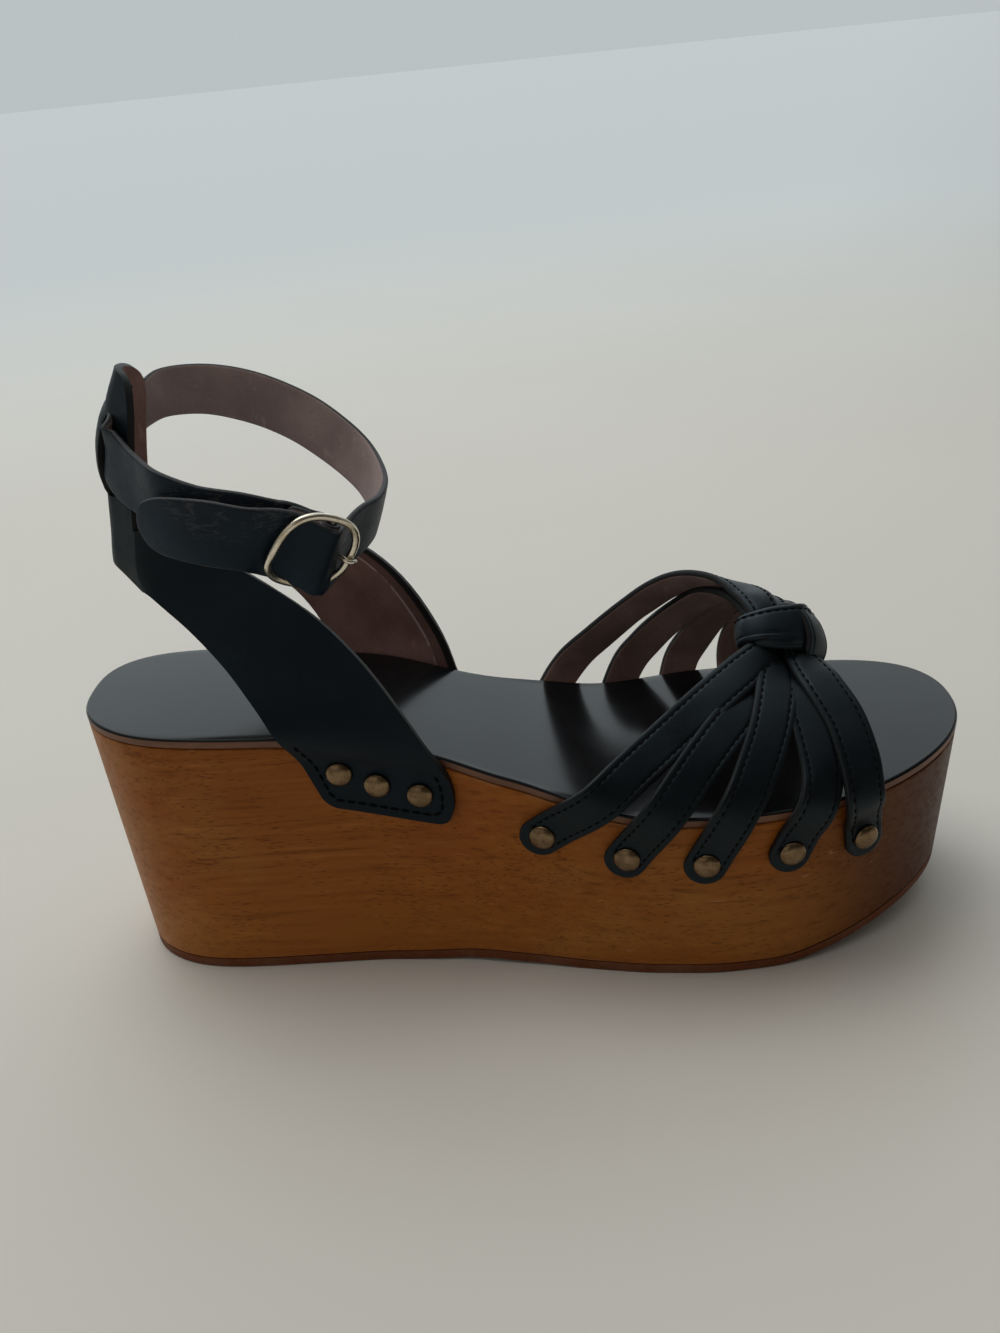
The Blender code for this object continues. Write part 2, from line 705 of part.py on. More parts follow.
def build_quarter(holes, materials, group, helpers, parent):
    """Sling from wall to wall round the heel, with its slotted tab."""
    proud = GAP + QUARTER_LEATHER / 2.0

    def wall_rows(rows, side):
        found = []
        for (x0, z0), (x1, z1) in rows:
            row = []
            for level in range(SLING_LEVELS):
                u = level / (SLING_LEVELS - 1)
                row.append(wall_point(x0 + (x1 - x0) * u, z0 + (z1 - z0) * u, side, proud)[0])
            found.append(row)
        return found

    outer = wall_rows(SLING_OUTER_WALL, -1) + [sling_row(*row) for row in SLING_OUTER]
    inner = [sling_row(*row) for row in SLING_INNER] + wall_rows(SLING_INNER_WALL, 1)
    edge = TAB_HALF_WIDTH
    steps = (1.6, SLIT_INSIDE + 0.6, SLIT_OUTSIDE - 0.8, 10.2, 12.0, 13.6, edge - 0.02, edge + 0.7)
    offsets = [*(-step for step in reversed(steps)), 0.0, *steps]
    tab = [tab_row(offset) for offset in offsets]

    def resample(row):
        found = []
        for level in range(TAB_LEVELS):
            u = level / (TAB_LEVELS - 1) * (len(row) - 1)
            index = min(int(u), len(row) - 2)
            found.append(row[index].lerp(row[index + 1], u - index))
        return found

    def smooth_rows(rows):
        columns = [smooth_path([row[level] for row in rows], 2) for level in range(TAB_LEVELS)]
        return [list(row) for row in zip(*columns)]

    outer = [resample(row) for row in outer]
    inner = [resample(row) for row in inner]
    rows = smooth_rows([*outer, tab[0]]) + tab[1:-1] + smooth_rows([tab[-1], *inner])
    quarter = sheet("quarter", rows, QUARTER_LEATHER, materials["leather"], group, parent)
    cut(quarter, holes)
    middle_z = (SLIT_LOW + SLIT_HIGH) / 2.0
    for side, label in ((-1, "outer"), (1, "inner")):
        near = heel_point(side * SLIT_INSIDE, middle_z)
        far = heel_point(side * SLIT_OUTSIDE, middle_z)
        middle = (near + far) / 2.0
        size = (24.0, abs(far.y - near.y), SLIT_HIGH - SLIT_LOW)
        cut(quarter, box_cutter(f"slit_{label}", middle, size, helpers, parent))
    return quarter


def box_cutter(name, middle, size, group, parent):
    shape = bmesh.new()
    bmesh.ops.create_cube(shape, size=1.0)
    bmesh.ops.scale(shape, vec=Vector(size) * MM, verts=shape.verts)
    bmesh.ops.translate(shape, vec=Vector(middle) * MM, verts=shape.verts)
    mesh = bpy.data.meshes.new(name)
    shape.to_mesh(mesh)
    shape.free()
    thing = bpy.data.objects.new(name, mesh)
    thing.parent = parent
    group.objects.link(thing)
    return make_helper(thing)


def buckle_axes():
    along = BUCKLE_ALONG.normalized()
    out = (BUCKLE_OUT - along * BUCKLE_OUT.dot(along)).normalized()
    return along, out.cross(along), out


def strap_in_buckle(places):
    """Edge points of the strap at distances along and out from the middle of the buckle."""
    along, across, out = buckle_axes()
    width = (across - along * STRAP_SKEW).normalized() * STRAP_HALF_WIDTH
    rows = []
    for forward, outward in places:
        middle = BUCKLE_CENTRE + along * forward + out * outward + across * STRAP_SHIFT
        rows.append((middle - width, middle + width))
    return rows


def build_ankle_strap(materials, group, parent):
    rows = [
        *strap_in_buckle(BUCKLE_FOLD),
        *[(Vector(low), Vector(high)) for low, high in ANKLE_LONG],
        *strap_in_buckle(BUCKLE_PASS),
        *[(Vector(low), Vector(high)) for low, high in ANKLE_TIP],
    ]
    lows = smooth_path([low for low, _ in rows], 2)
    highs = smooth_path([high for _, high in rows], 2)
    return sheet("ankle_strap", list(zip(lows, highs)), ANKLE_LEATHER, materials["leather"], group, parent)


def wire_mesh(name, points, radius, cyclic, material, place, parent):
    """Round wire along the points, as a closed mesh."""
    curve = bpy.data.curves.new(name, "CURVE")
    curve.dimensions = "3D"
    curve.bevel_depth = radius * MM
    curve.bevel_resolution = 2
    curve.use_fill_caps = True
    spline = curve.splines.new("POLY")
    spline.points.add(len(points) - 1)
    for point, target in zip(points, spline.points):
        target.co = (*(Vector(point) * MM), 1.0)
    spline.use_cyclic_u = cyclic
    guide = bpy.data.objects.new(name, curve)
    bpy.context.scene.collection.objects.link(guide)
    graph = bpy.context.evaluated_depsgraph_get()
    mesh = bpy.data.meshes.new_from_object(guide.evaluated_get(graph))
    bpy.data.objects.remove(guide)
    shape = bmesh.new()
    shape.from_mesh(mesh)
    bmesh.ops.remove_doubles(shape, verts=shape.verts, dist=0.000001)
    bmesh.ops.recalc_face_normals(shape, faces=shape.faces)
    shape.to_mesh(mesh)
    shape.free()
    mesh.materials.clear()
    mesh.materials.append(material)
    wire = bpy.data.objects.new(name, mesh)
    wire.parent = parent
    wire.matrix_local = place
    return wire


def build_buckle(materials, group, helpers, parent):
    """Oval frame with a set-back bar between its two sides."""
    along, across, out = buckle_axes()
    place = Matrix((along, across, out)).transposed().to_4x4()
    place.translation = BUCKLE_CENTRE * MM

    def rounded(value):
        return math.copysign(abs(value) ** BUCKLE_ROUNDNESS, value)

    ring = []
    for step in range(36):
        angle = 2.0 * math.pi * (step + 0.5) / 36
        length = BUCKLE_HALF_LENGTH * rounded(math.cos(angle))
        ring.append((length, BUCKLE_HALF_WIDTH * rounded(math.sin(angle)), 0.0))
    frame = wire_mesh("buckle_frame", ring, BUCKLE_WIRE_RADIUS, True, materials["brass"], place, parent)
    group.objects.link(frame)
    inner = BUCKLE_HALF_WIDTH - BUCKLE_WIRE_RADIUS
    bar_points = [
        (BAR_FORWARD - STRAP_SKEW * sideways, sideways, -depth)
        for sideways, depth in (
            (-BUCKLE_HALF_WIDTH, 0.0),
            (-inner + 0.3, BAR_DEPTH * 0.75),
            (-inner + 1.4, BAR_DEPTH),
            (inner - 1.4, BAR_DEPTH),
            (inner - 0.3, BAR_DEPTH * 0.75),
            (BUCKLE_HALF_WIDTH, 0.0),
        )
    ]
    bar_radius = BUCKLE_WIRE_RADIUS * 0.95
    bar = wire_mesh("buckle_bar", bar_points, bar_radius, False, materials["brass"], place, parent)
    helpers.objects.link(bar)
    make_helper(bar)
    cut(frame, bar, "UNION")


def build_prong(strap, materials, group, helpers, parent):
    """Prong from the bar out through the strap, its tip over the front of the frame."""
    along, across, out = buckle_axes()
    place = Matrix((along, across, out)).transposed().to_4x4()
    place.translation = BUCKLE_CENTRE * MM
    prong = wire_mesh("buckle_prong", PRONG_PATH, PRONG_RADIUS, False, materials["brass"], place, parent)
    group.objects.link(prong)
    room = wire_mesh("prong_room", PRONG_PATH, PRONG_HOLE_RADIUS, False, materials["brass"], place, parent)
    helpers.objects.link(room)
    cut(strap, make_helper(room))


def main():
    for thing in list(bpy.data.objects):
        bpy.data.objects.remove(thing)
    scene = bpy.context.scene
    group = make_collection("platform_wedge_sandal", scene.collection)
    helpers = make_collection("cutters", scene.collection)
    root = bpy.data.objects.new("sandal_root", None)
    root.location = -ORIGIN * MM
    group.objects.link(root)
    materials = {
        "rubber": make_material("tread_rubber", (0.10, 0.035, 0.018), 0.65),
        "wood": make_material("stained_wood", (0.33, 0.13, 0.035), 0.45),
        "insole": make_material("insole_leather", (0.012, 0.013, 0.016), 0.25),
        "leather": make_material("black_leather", (0.013, 0.014, 0.016), 0.42),
        "brass": make_material("pale_brass", (0.68, 0.56, 0.36), 0.25, 1.0),
        "nail": make_material("antique_brass", (0.30, 0.22, 0.12), 0.4, 1.0),
    }
    wood = build_sole(materials, group, root)
    places = rivet_places()
    holes = build_rivet_holes(places, helpers, root)
    cut(wood, holes)
    build_rivets(places, materials["nail"], group, root)
    build_vamp(holes, materials, group, helpers, root)
    build_knot(materials, group, helpers, root)
    build_quarter(holes, materials, group, helpers, root)
    strap = build_ankle_strap(materials, group, root)
    build_buckle(materials, group, helpers, root)
    build_prong(strap, materials, group, helpers, root)


main()
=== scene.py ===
import math

import bpy
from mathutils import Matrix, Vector, noise


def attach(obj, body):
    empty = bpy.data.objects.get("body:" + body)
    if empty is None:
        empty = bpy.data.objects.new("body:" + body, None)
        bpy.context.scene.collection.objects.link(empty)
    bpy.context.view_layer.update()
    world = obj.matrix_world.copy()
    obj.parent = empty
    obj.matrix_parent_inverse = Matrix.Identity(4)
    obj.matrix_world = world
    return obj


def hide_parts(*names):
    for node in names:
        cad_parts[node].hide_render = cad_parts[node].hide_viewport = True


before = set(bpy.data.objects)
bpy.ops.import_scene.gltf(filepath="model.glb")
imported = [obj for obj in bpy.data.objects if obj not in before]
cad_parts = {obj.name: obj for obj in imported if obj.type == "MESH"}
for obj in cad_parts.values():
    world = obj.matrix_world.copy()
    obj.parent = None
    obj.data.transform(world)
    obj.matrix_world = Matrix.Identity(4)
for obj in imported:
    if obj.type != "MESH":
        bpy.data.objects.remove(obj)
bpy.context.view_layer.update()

# Sizes are in the shoe's own millimetres: x from the back of the heel to the toe, y to the
# inner side of the foot, z up from the ground.
mm = 0.001
soleMiddle = Vector((125.0, -1.0, 0.0))


def toFrame(point):
    # the shoe's millimetres to the frame's metres
    return (Vector(point) - soleMiddle) * mm


def clearSelection():
    if bpy.context.object and bpy.context.object.mode != "OBJECT":
        bpy.ops.object.mode_set(mode="OBJECT")
    bpy.ops.object.select_all(action="DESELECT")


def pick(thing):
    clearSelection()
    thing.select_set(True)
    bpy.context.view_layer.objects.active = thing


def layGrid(name, across, along, place, partOf=None):
    # a flat grid with every point moved to its place, and its faces sorted to materials
    clearSelection()
    bpy.ops.mesh.primitive_grid_add(x_subdivisions=across, y_subdivisions=along, size=1.0)
    thing = bpy.context.object
    thing.name = thing.data.name = name
    cells = []
    for vertex in thing.data.vertices:
        cell = (round((vertex.co.x + 0.5) * across), round((vertex.co.y + 0.5) * along))
        cells.append(cell)
        vertex.co = toFrame(place(*cell))
    if partOf:
        for face in thing.data.polygons:
            column = min(cells[corner][0] for corner in face.vertices)
            row = min(cells[corner][1] for corner in face.vertices)
            face.material_index = partOf(column, row)
    return thing, cells


def editAll(thing, *steps):
    # edits that run over the whole mesh, one after another
    pick(thing)
    bpy.ops.object.mode_set(mode="EDIT")
    bpy.ops.mesh.select_all(action="SELECT")
    for edit, settings in steps:
        edit(**settings)
    bpy.ops.object.mode_set(mode="OBJECT")


def weld(thing, distance=0.004):
    merge = {"threshold": distance * mm}
    editAll(
        thing,
        (bpy.ops.mesh.remove_doubles, merge),
        (bpy.ops.mesh.dissolve_degenerate, merge),
        (bpy.ops.mesh.normals_make_consistent, {"inside": False}),
    )
    bpy.ops.object.shade_smooth()
    return thing


def dress(thing, *finishes):
    # clearing the slots resets every face to the first one, so the sorting is put back
    parts = [face.material_index for face in thing.data.polygons]
    thing.data.materials.clear()
    for finish in finishes:
        thing.data.materials.append(finish)
    if len(finishes) > 1:
        thing.data.polygons.foreach_set("material_index", parts)


def link(thing):
    bpy.context.scene.collection.objects.link(thing)
    return thing


def hand(thing, slot, *nodes):
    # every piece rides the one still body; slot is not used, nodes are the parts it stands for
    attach(thing, "root")
    if nodes:
        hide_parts(*nodes)


def keep(thing, name, values):
    # one number for each point of the mesh, for the finishes to read
    layer = thing.data.attributes.new(name, "FLOAT", "POINT")
    layer.data.foreach_set("value", values)


def ease(u):
    u = min(max(u, 0.0), 1.0)
    return u * u * (3.0 - 2.0 * u)


def smoothValue(table, x, column=1):
    # smooth curve through the rows of a table, never passing beyond them
    rows = [(row[0], row[column]) for row in table]
    if x <= rows[0][0]:
        return rows[0][1]
    if x >= rows[-1][0]:
        return rows[-1][1]
    slopes = [(b[1] - a[1]) / (b[0] - a[0]) for a, b in zip(rows, rows[1:])]
    tangents = [slopes[0]]
    for before, after in zip(slopes, slopes[1:]):
        flat = before * after <= 0.0
        tangents.append(0.0 if flat else 2.0 * before * after / (before + after))
    tangents.append(slopes[-1])
    index = next(i for i in range(len(slopes)) if x <= rows[i + 1][0])
    (x0, y0), (x1, y1) = rows[index], rows[index + 1]
    width = x1 - x0
    u = (x - x0) / width
    start, end = tangents[index] * width, tangents[index + 1] * width
    low = y0 * (2 * u**3 - 3 * u**2 + 1) + start * (u**3 - 2 * u**2 + u)
    return low + y1 * (3 * u**2 - 2 * u**3) + end * (u**3 - u**2)


def between(a, b, c, d, u):
    # smooth curve from b to c, with a and d as the points on either side
    bend = (2 * a - 5 * b + 4 * c - d) * u**2
    twist = (3 * b - a - 3 * c + d) * u**3
    return 0.5 * (2 * b + (c - a) * u + bend + twist)


def smoothPath(points, steps):
    # smooth curve through every point, ends included
    ends = [points[0] * 2 - points[1], *points, points[-1] * 2 - points[-2]]
    path = []
    for a, b, c, d in zip(ends, ends[1:], ends[2:], ends[3:]):
        path += [between(a, b, c, d, step / steps) for step in range(steps)]
    path.append(points[-1].copy())
    return path


def beside(points, k, span=1):
    # the points before and after, held at the ends
    return points[max(k - span, 0)], points[min(k + span, len(points) - 1)]


class Track:
    # a path that can be asked for its point at a length along it
    def __init__(self, points):
        self.points = points
        self.reaches = [0.0]
        for a, b in zip(points, points[1:]):
            self.reaches.append(self.reaches[-1] + (b - a).length)
        self.length = self.reaches[-1]

    def spot(self, reach):
        reach = min(max(reach, 0.0), self.length)
        low, high = 0, len(self.reaches) - 1
        while high - low > 1:
            middle = (low + high) // 2
            if self.reaches[middle] <= reach:
                low = middle
            else:
                high = middle
        span = self.reaches[high] - self.reaches[low]
        return low, (reach - self.reaches[low]) / span if span else 0.0

    def at(self, reach, values=None):
        index, share = self.spot(reach)
        values = values or self.points
        return values[index] * (1.0 - share) + values[index + 1] * share


sole = {
    "length": 250.0,
    "heelRound": 40.0,
    "toeRound": 70.0,
    "heelUndercut": 4.5,
    "toeUndercut": 4.7,
    "heelSquare": 2.6,       # how square the plan is at each end; 2 would be an ellipse
    "toeSquare": 2.25,
    "sideTaper": 2.0,        # the walls draw in toward the ground
    "taperBreadth": 30.0,
    "insoleThick": 3.0,
    "rubberThick": 3.0,
    "glueGap": 0.05,
    # station x, centre line y, half breadth
    "plan": (
        (0.0, 5.0, 29.8), (20.0, 3.0, 29.9), (40.0, 2.0, 29.8), (60.0, 0.8, 29.0), (80.0, -0.8, 27.9),
        (100.0, -2.9, 27.9), (120.0, -4.2, 30.9), (140.0, -3.4, 36.6), (160.0, -2.0, 42.2),
        (180.0, -1.3, 44.5), (200.0, -0.1, 44.5), (220.0, 2.3, 44.5), (250.0, 6.5, 44.5),
    ),
    "footbed": (
        (0.0, 80.5), (40.0, 78.0), (80.0, 75.0), (120.0, 63.3), (160.0, 52.6), (200.0, 52.8), (250.0, 56.2),
    ),
    "tread": (
        (0.0, 0.0), (82.0, 0.0), (112.0, 0.9), (142.0, 0.0), (190.0, 0.0), (206.0, 2.6), (225.0, 7.2),
        (250.0, 12.5),
    ),
}


def halfBreadth(x):
    heel, toe = sole["heelSquare"], sole["toeSquare"]
    breadth = smoothValue(sole["plan"], x, 2)
    if x < sole["heelRound"]:
        reach = (sole["heelRound"] - x) / sole["heelRound"]
        return breadth * max(1.0 - reach**heel, 0.0) ** (1.0 / heel)
    if x > sole["length"] - sole["toeRound"]:
        reach = (x - sole["length"] + sole["toeRound"]) / sole["toeRound"]
        return breadth * max(1.0 - reach**toe, 0.0) ** (1.0 / toe)
    return breadth


def treadX(station):
    lost = sole["heelUndercut"] + sole["toeUndercut"]
    return sole["heelUndercut"] + station * (sole["length"] - lost) / sole["length"]


def treadHeight(station):
    return smoothValue(sole["tread"], treadX(station))


def footbedHeight(station):
    return smoothValue(sole["footbed"], station)


def soleEdges(station, height):
    low, high = treadHeight(station), footbedHeight(station)
    rise = (height - low) / (high - low)
    x = treadX(station) * (1.0 - rise) + station * rise
    centre = smoothValue(sole["plan"], station, 1)
    half = halfBreadth(station) * (1.0 - sole["sideTaper"] * (1.0 - rise) / sole["taperBreadth"])
    return Vector((x, centre - half, height)), Vector((x, centre + half, height))


def wallPoint(x, height, side, proud=0.0):
    # point on the side wall and its way out; side is -1 outer, +1 inner
    def edgeY(atX, atHeight):
        station = atX
        for _ in range(4):
            station += atX - soleEdges(station, atHeight)[0].x
        return soleEdges(station, atHeight)[0 if side < 0 else 1].y

    slope = edgeY(x + 0.5, height) - edgeY(x - 0.5, height)
    flare = (edgeY(x, height + 1.0) - edgeY(x, height - 1.0)) / 2.0
    normal = Vector((-slope, 1.0, -flare)).normalized() * side
    return Vector((x, edgeY(x, height), height)) + normal * proud, normal


class Wire:
    # an output of a node, so that shader sums can be written as sums
    def __init__(self, finish, socket):
        self.finish, self.socket = finish, socket

    def sum(self, operation, first, second):
        return self.finish.node("ShaderNodeMath", {"operation": operation}, {0: first, 1: second})

    def __add__(self, other):
        return self.sum("ADD", self, other)

    def __sub__(self, other):
        return self.sum("SUBTRACT", self, other)

    def __rsub__(self, other):
        return self.sum("SUBTRACT", other, self)

    def __mul__(self, other):
        return self.sum("MULTIPLY", self, other)

    def __truediv__(self, other):
        return self.sum("DIVIDE", self, other)

    __radd__, __rmul__ = __add__, __mul__


class NodeSheet:
    def __init__(self, tree):
        self.tree = tree

    def node(self, kind, settings=None, sockets=None, output=0):
        made = self.tree.nodes.new(kind)
        for key, value in (settings or {}).items():
            if key == "stops":
                ramp = made.color_ramp
                while len(ramp.elements) < len(value):
                    ramp.elements.new(0.5)
                for element, (spot, shade) in zip(ramp.elements, value):
                    element.position = spot
                    element.color = (*shade, 1.0)
            else:
                setattr(made, key, value)
        for key, value in (sockets or {}).items():
            self.link(value, made.inputs[key])
        return Wire(self, made.outputs[output])

    def vector(self, operation, *places):
        return self.node("ShaderNodeVectorMath", {"operation": operation}, dict(enumerate(places)), "Value")

    def link(self, value, socket):
        if isinstance(value, Wire):
            self.tree.links.new(value.socket, socket)
        elif isinstance(value, tuple) and len(value) == 3 and socket.type == "RGBA":
            socket.default_value = (*value, 1.0)
        else:
            socket.default_value = value


class Finish(NodeSheet):
    def __init__(self, name):
        self.material = bpy.data.materials.new(name)
        self.material.use_nodes = True
        super().__init__(self.material.node_tree)
        self.shader = self.tree.nodes["Principled BSDF"]
        self.place = self.node("ShaderNodeTexCoord", output="Object")

    def stretched(self, scale, turn=(0.0, 0.0, 0.0)):
        sockets = {"Vector": self.place, "Scale": scale, "Rotation": turn}
        return self.node("ShaderNodeMapping", None, sockets)

    def cloud(self, scale, detail=3.0, rough=0.55, where=None, warp=0.0):
        sockets = {"Vector": where or self.place, "Scale": scale, "Detail": detail, "Roughness": rough}
        return self.node("ShaderNodeTexNoise", None, {**sockets, "Distortion": warp})

    def cells(self, scale, feature="DISTANCE_TO_EDGE", where=None):
        sockets = {"Vector": where or self.place, "Scale": scale}
        return self.node("ShaderNodeTexVoronoi", {"feature": feature}, sockets, "Distance")

    def step(self, value, low, high, start=0.0, end=1.0):
        sockets = {"Value": value, "From Min": low, "From Max": high, "To Min": start, "To Max": end}
        return self.node("ShaderNodeMapRange", {"interpolation_type": "SMOOTHSTEP"}, sockets)

    def mix(self, mask, first, second):
        return self.node("ShaderNodeMix", {"data_type": "RGBA"}, {0: mask, 6: first, 7: second}, 2)

    def paint(self, base, *layers):
        # colours laid one over another, each where its mask shows
        for mask, shade in layers:
            base = self.mix(mask, base, shade)
        return base

    def read(self, name):
        return self.node("ShaderNodeAttribute", {"attribute_name": name}, output="Fac")

    def split(self, axis):
        return self.node("ShaderNodeSeparateXYZ", None, {0: self.place}, axis)

    def bumps(self, *layers):
        # each layer is a height in millimetres and how strongly it shows
        normal = None
        for height, strength in layers:
            sockets = {"Height": height, "Strength": strength, "Distance": mm}
            if normal:
                sockets["Normal"] = normal
            normal = self.node("ShaderNodeBump", None, sockets)
        return normal

    def surface(self, **sockets):
        for key, value in sockets.items():
            self.link(value, self.shader.inputs[key.replace("_", " ")])
        return self.material


def tinted(shade, share):
    return tuple(c * share for c in shade)


# painted reflection colour: the reflections on every black leather are tinted blue-green, standing in for
# the bluish window light
leatherTint = (0.66, 0.88, 1.0)   # the polish reads a little blue-green


def blackLeather(name, shade, gloss, grain, wearAndHighlight, shine, patch=None):
    # smooth finished leather: fine pebble, faint pull-up clouds, a dry rub and a painted highlight along
    # the edges
    finish = Finish(name)
    clouds = finish.cloud(55.0, 4.0)
    pebble = finish.cells(1500.0)
    pores = finish.cloud(2600.0, 2.0)
    fine = finish.cloud(420.0, 3.0)
    rim = finish.read("rim")
    # the edges are painted lighter, partly as a dry rub and partly as a painted highlight
    edgeWearAndHighlight = finish.step(rim, 0.85, 0.15) * finish.step(fine, 0.35, 0.62)
    lighter = finish.step(clouds, 0.35, 0.7)
    base = finish.paint(shade, (lighter, tinted(shade, 1.75)), (edgeWearAndHighlight * wearAndHighlight, (0.020, 0.020, 0.021)))
    rough = gloss + finish.step(clouds, 0.3, 0.7) * 0.10 + edgeWearAndHighlight * 0.16 + finish.step(fine, 0.4, 0.7) * 0.05
    height = finish.step(pebble, 0.0, 0.16) * 0.030 + pores * 0.020
    if patch:
        # a patch where the finish has dried out and cracked along the strap
        squash = Vector((0.7, 1.0, 1.9))
        apart = finish.vector("DISTANCE", finish.stretched(squash), toFrame(patch) * squash)
        near = finish.step(apart, 0.021, 0.008)
        lines = finish.cloud(620.0, 3.0, 0.6, finish.stretched((0.22, 0.3, 1.0), (0.0, 0.50, 0.0)))
        cracks = finish.step(lines, 0.44, 0.49) * finish.step(lines, 0.56, 0.51)
        cracks = near * cracks * finish.step(finish.cloud(240.0, 3.0), 0.40, 0.56)
        dry, dull = (0.075, 0.074, 0.078), (0.016, 0.017, 0.020)
        base = finish.paint(base, (cracks * 0.75, dry), (near * 0.30, dull))
        rough = rough + cracks * 0.25
        height = height - cracks * 0.10
    return finish.surface(
        Base_Color=base,
        Roughness=rough,
        Normal=finish.bumps((finish.cloud(130.0, 2.0) * 0.30, 0.30 * grain), (height, grain)),
        Specular_IOR_Level=shine,
        Specular_Tint=leatherTint,
    )


def rawLining(name, shade, dark, turned=False):
    # brown lining skin, suede side dulled by the foot
    finish = Finish(name)
    clouds = finish.cloud(70.0, 4.0)
    nap = finish.cloud(1500.0, 3.0, 0.7)
    wrinkle = finish.cloud(260.0, 2.0, where=finish.stretched((1.0, 1.0, 0.35)))
    scuff = finish.cloud(210.0, 3.0, 0.6, finish.stretched((1.0, 0.6, 0.5), (0.3, 0.0, 0.2)))
    base = finish.paint(
        shade,
        (finish.step(clouds, 0.3, 0.72), dark),
        (finish.step(nap, 0.45, 0.75) * 0.35, tinted(dark, 0.55)),
        (finish.step(scuff, 0.62, 0.74) * 0.40, tinted(shade, 1.5)),
    )
    if turned:
        # the outer leather is turned over the front edge and stitched down
        front = finish.read("front")
        line = finish.step(front, 0.832, 0.840) * finish.step(front, 0.860, 0.852)
        line = line * finish.step(scuff, 0.40, 0.52)
        base = finish.paint(
            base,
            (finish.step(front, 0.850, 0.860) * 0.45, tinted(dark, 0.45)),   # shade beside the turned edge
            (finish.step(front, 0.925, 0.945), (0.012, 0.011, 0.012)),       # the turned leather
            (line * 0.8, (0.62, 0.50, 0.46)),                                # pale thread along it
        )
    return finish.surface(
        Base_Color=base,
        Roughness=0.62 + finish.step(nap, 0.3, 0.8) * 0.12,
        Normal=finish.bumps((wrinkle * 0.22, 0.35), (nap * 0.05, 0.5)),
        Specular_IOR_Level=0.35,
    )


def cutEdge(name, shade):
    # dyed and burnished cut edge of the leather
    finish = Finish(name)
    layers = finish.cloud(1800.0, 3.0, 0.7)
    base = finish.mix(finish.step(layers, 0.35, 0.7), shade, tinted(shade, 2.4))
    return finish.surface(
        Base_Color=base,
        Roughness=0.48 + layers * 0.2,
        Normal=finish.bumps((layers * 0.06, 0.5)),
        Specular_IOR_Level=0.30,
    )


def insoleTop():
    # polished footbed leather with dull foot marks and a few pale specks toward the toe
    finish = Finish("insoleTop")
    clouds = finish.cloud(26.0, 4.0, warp=0.4)
    fine = finish.cloud(700.0, 3.0)
    specks = finish.step(finish.cells(210.0, "F1"), 0.055, 0.035)
    specks = specks * finish.step(finish.cloud(60.0, 2.0), 0.56, 0.66)
    scuffs = finish.cloud(900.0, 2.0, where=finish.stretched((0.08, 1.0, 1.0), (0.0, 0.0, 0.35)))
    scuffs = finish.step(scuffs, 0.66, 0.78)
    base = finish.paint(
        (0.0040, 0.0046, 0.0056),
        (finish.step(clouds, 0.3, 0.7), (0.0085, 0.0095, 0.0110)),
        (scuffs * 0.16, (0.040, 0.042, 0.043)),
        (specks * 0.7, (0.11, 0.10, 0.10)),
    )
    rough = 0.13 + finish.step(clouds, 0.3, 0.75) * 0.06 + scuffs * 0.08 + specks * 0.3
    return finish.surface(
        Base_Color=base,
        Roughness=rough,
        Normal=finish.bumps((finish.cloud(38.0, 2.0) * 0.4, 0.14), (fine * 0.02, 0.30)),
        Specular_IOR_Level=0.20,
    )


def insoleBand():
    # brown edge of the footbed, rubbed lighter in places, darker lines along both sides
    finish = Finish("insoleBand")
    along = finish.cloud(240.0, 4.0, where=finish.stretched((0.25, 0.25, 1.0)))
    blotch = finish.cloud(34.0, 3.0)
    rise = finish.read("rise")
    lines = 1.0 - finish.step(rise, 0.04, 0.16) * finish.step(rise, 0.97, 0.86)
    base = finish.paint(
        (0.150, 0.058, 0.026),
        (finish.step(along, 0.3, 0.7), (0.230, 0.100, 0.050)),
        (finish.step(blotch, 0.4, 0.75) * 0.6, (0.095, 0.034, 0.015)),
        (lines * 0.85, (0.016, 0.009, 0.006)),
    )
    return finish.surface(
        Base_Color=base,
        Roughness=0.46 + along * 0.14,
        Normal=finish.bumps((along * 0.10, 0.4)),
    )


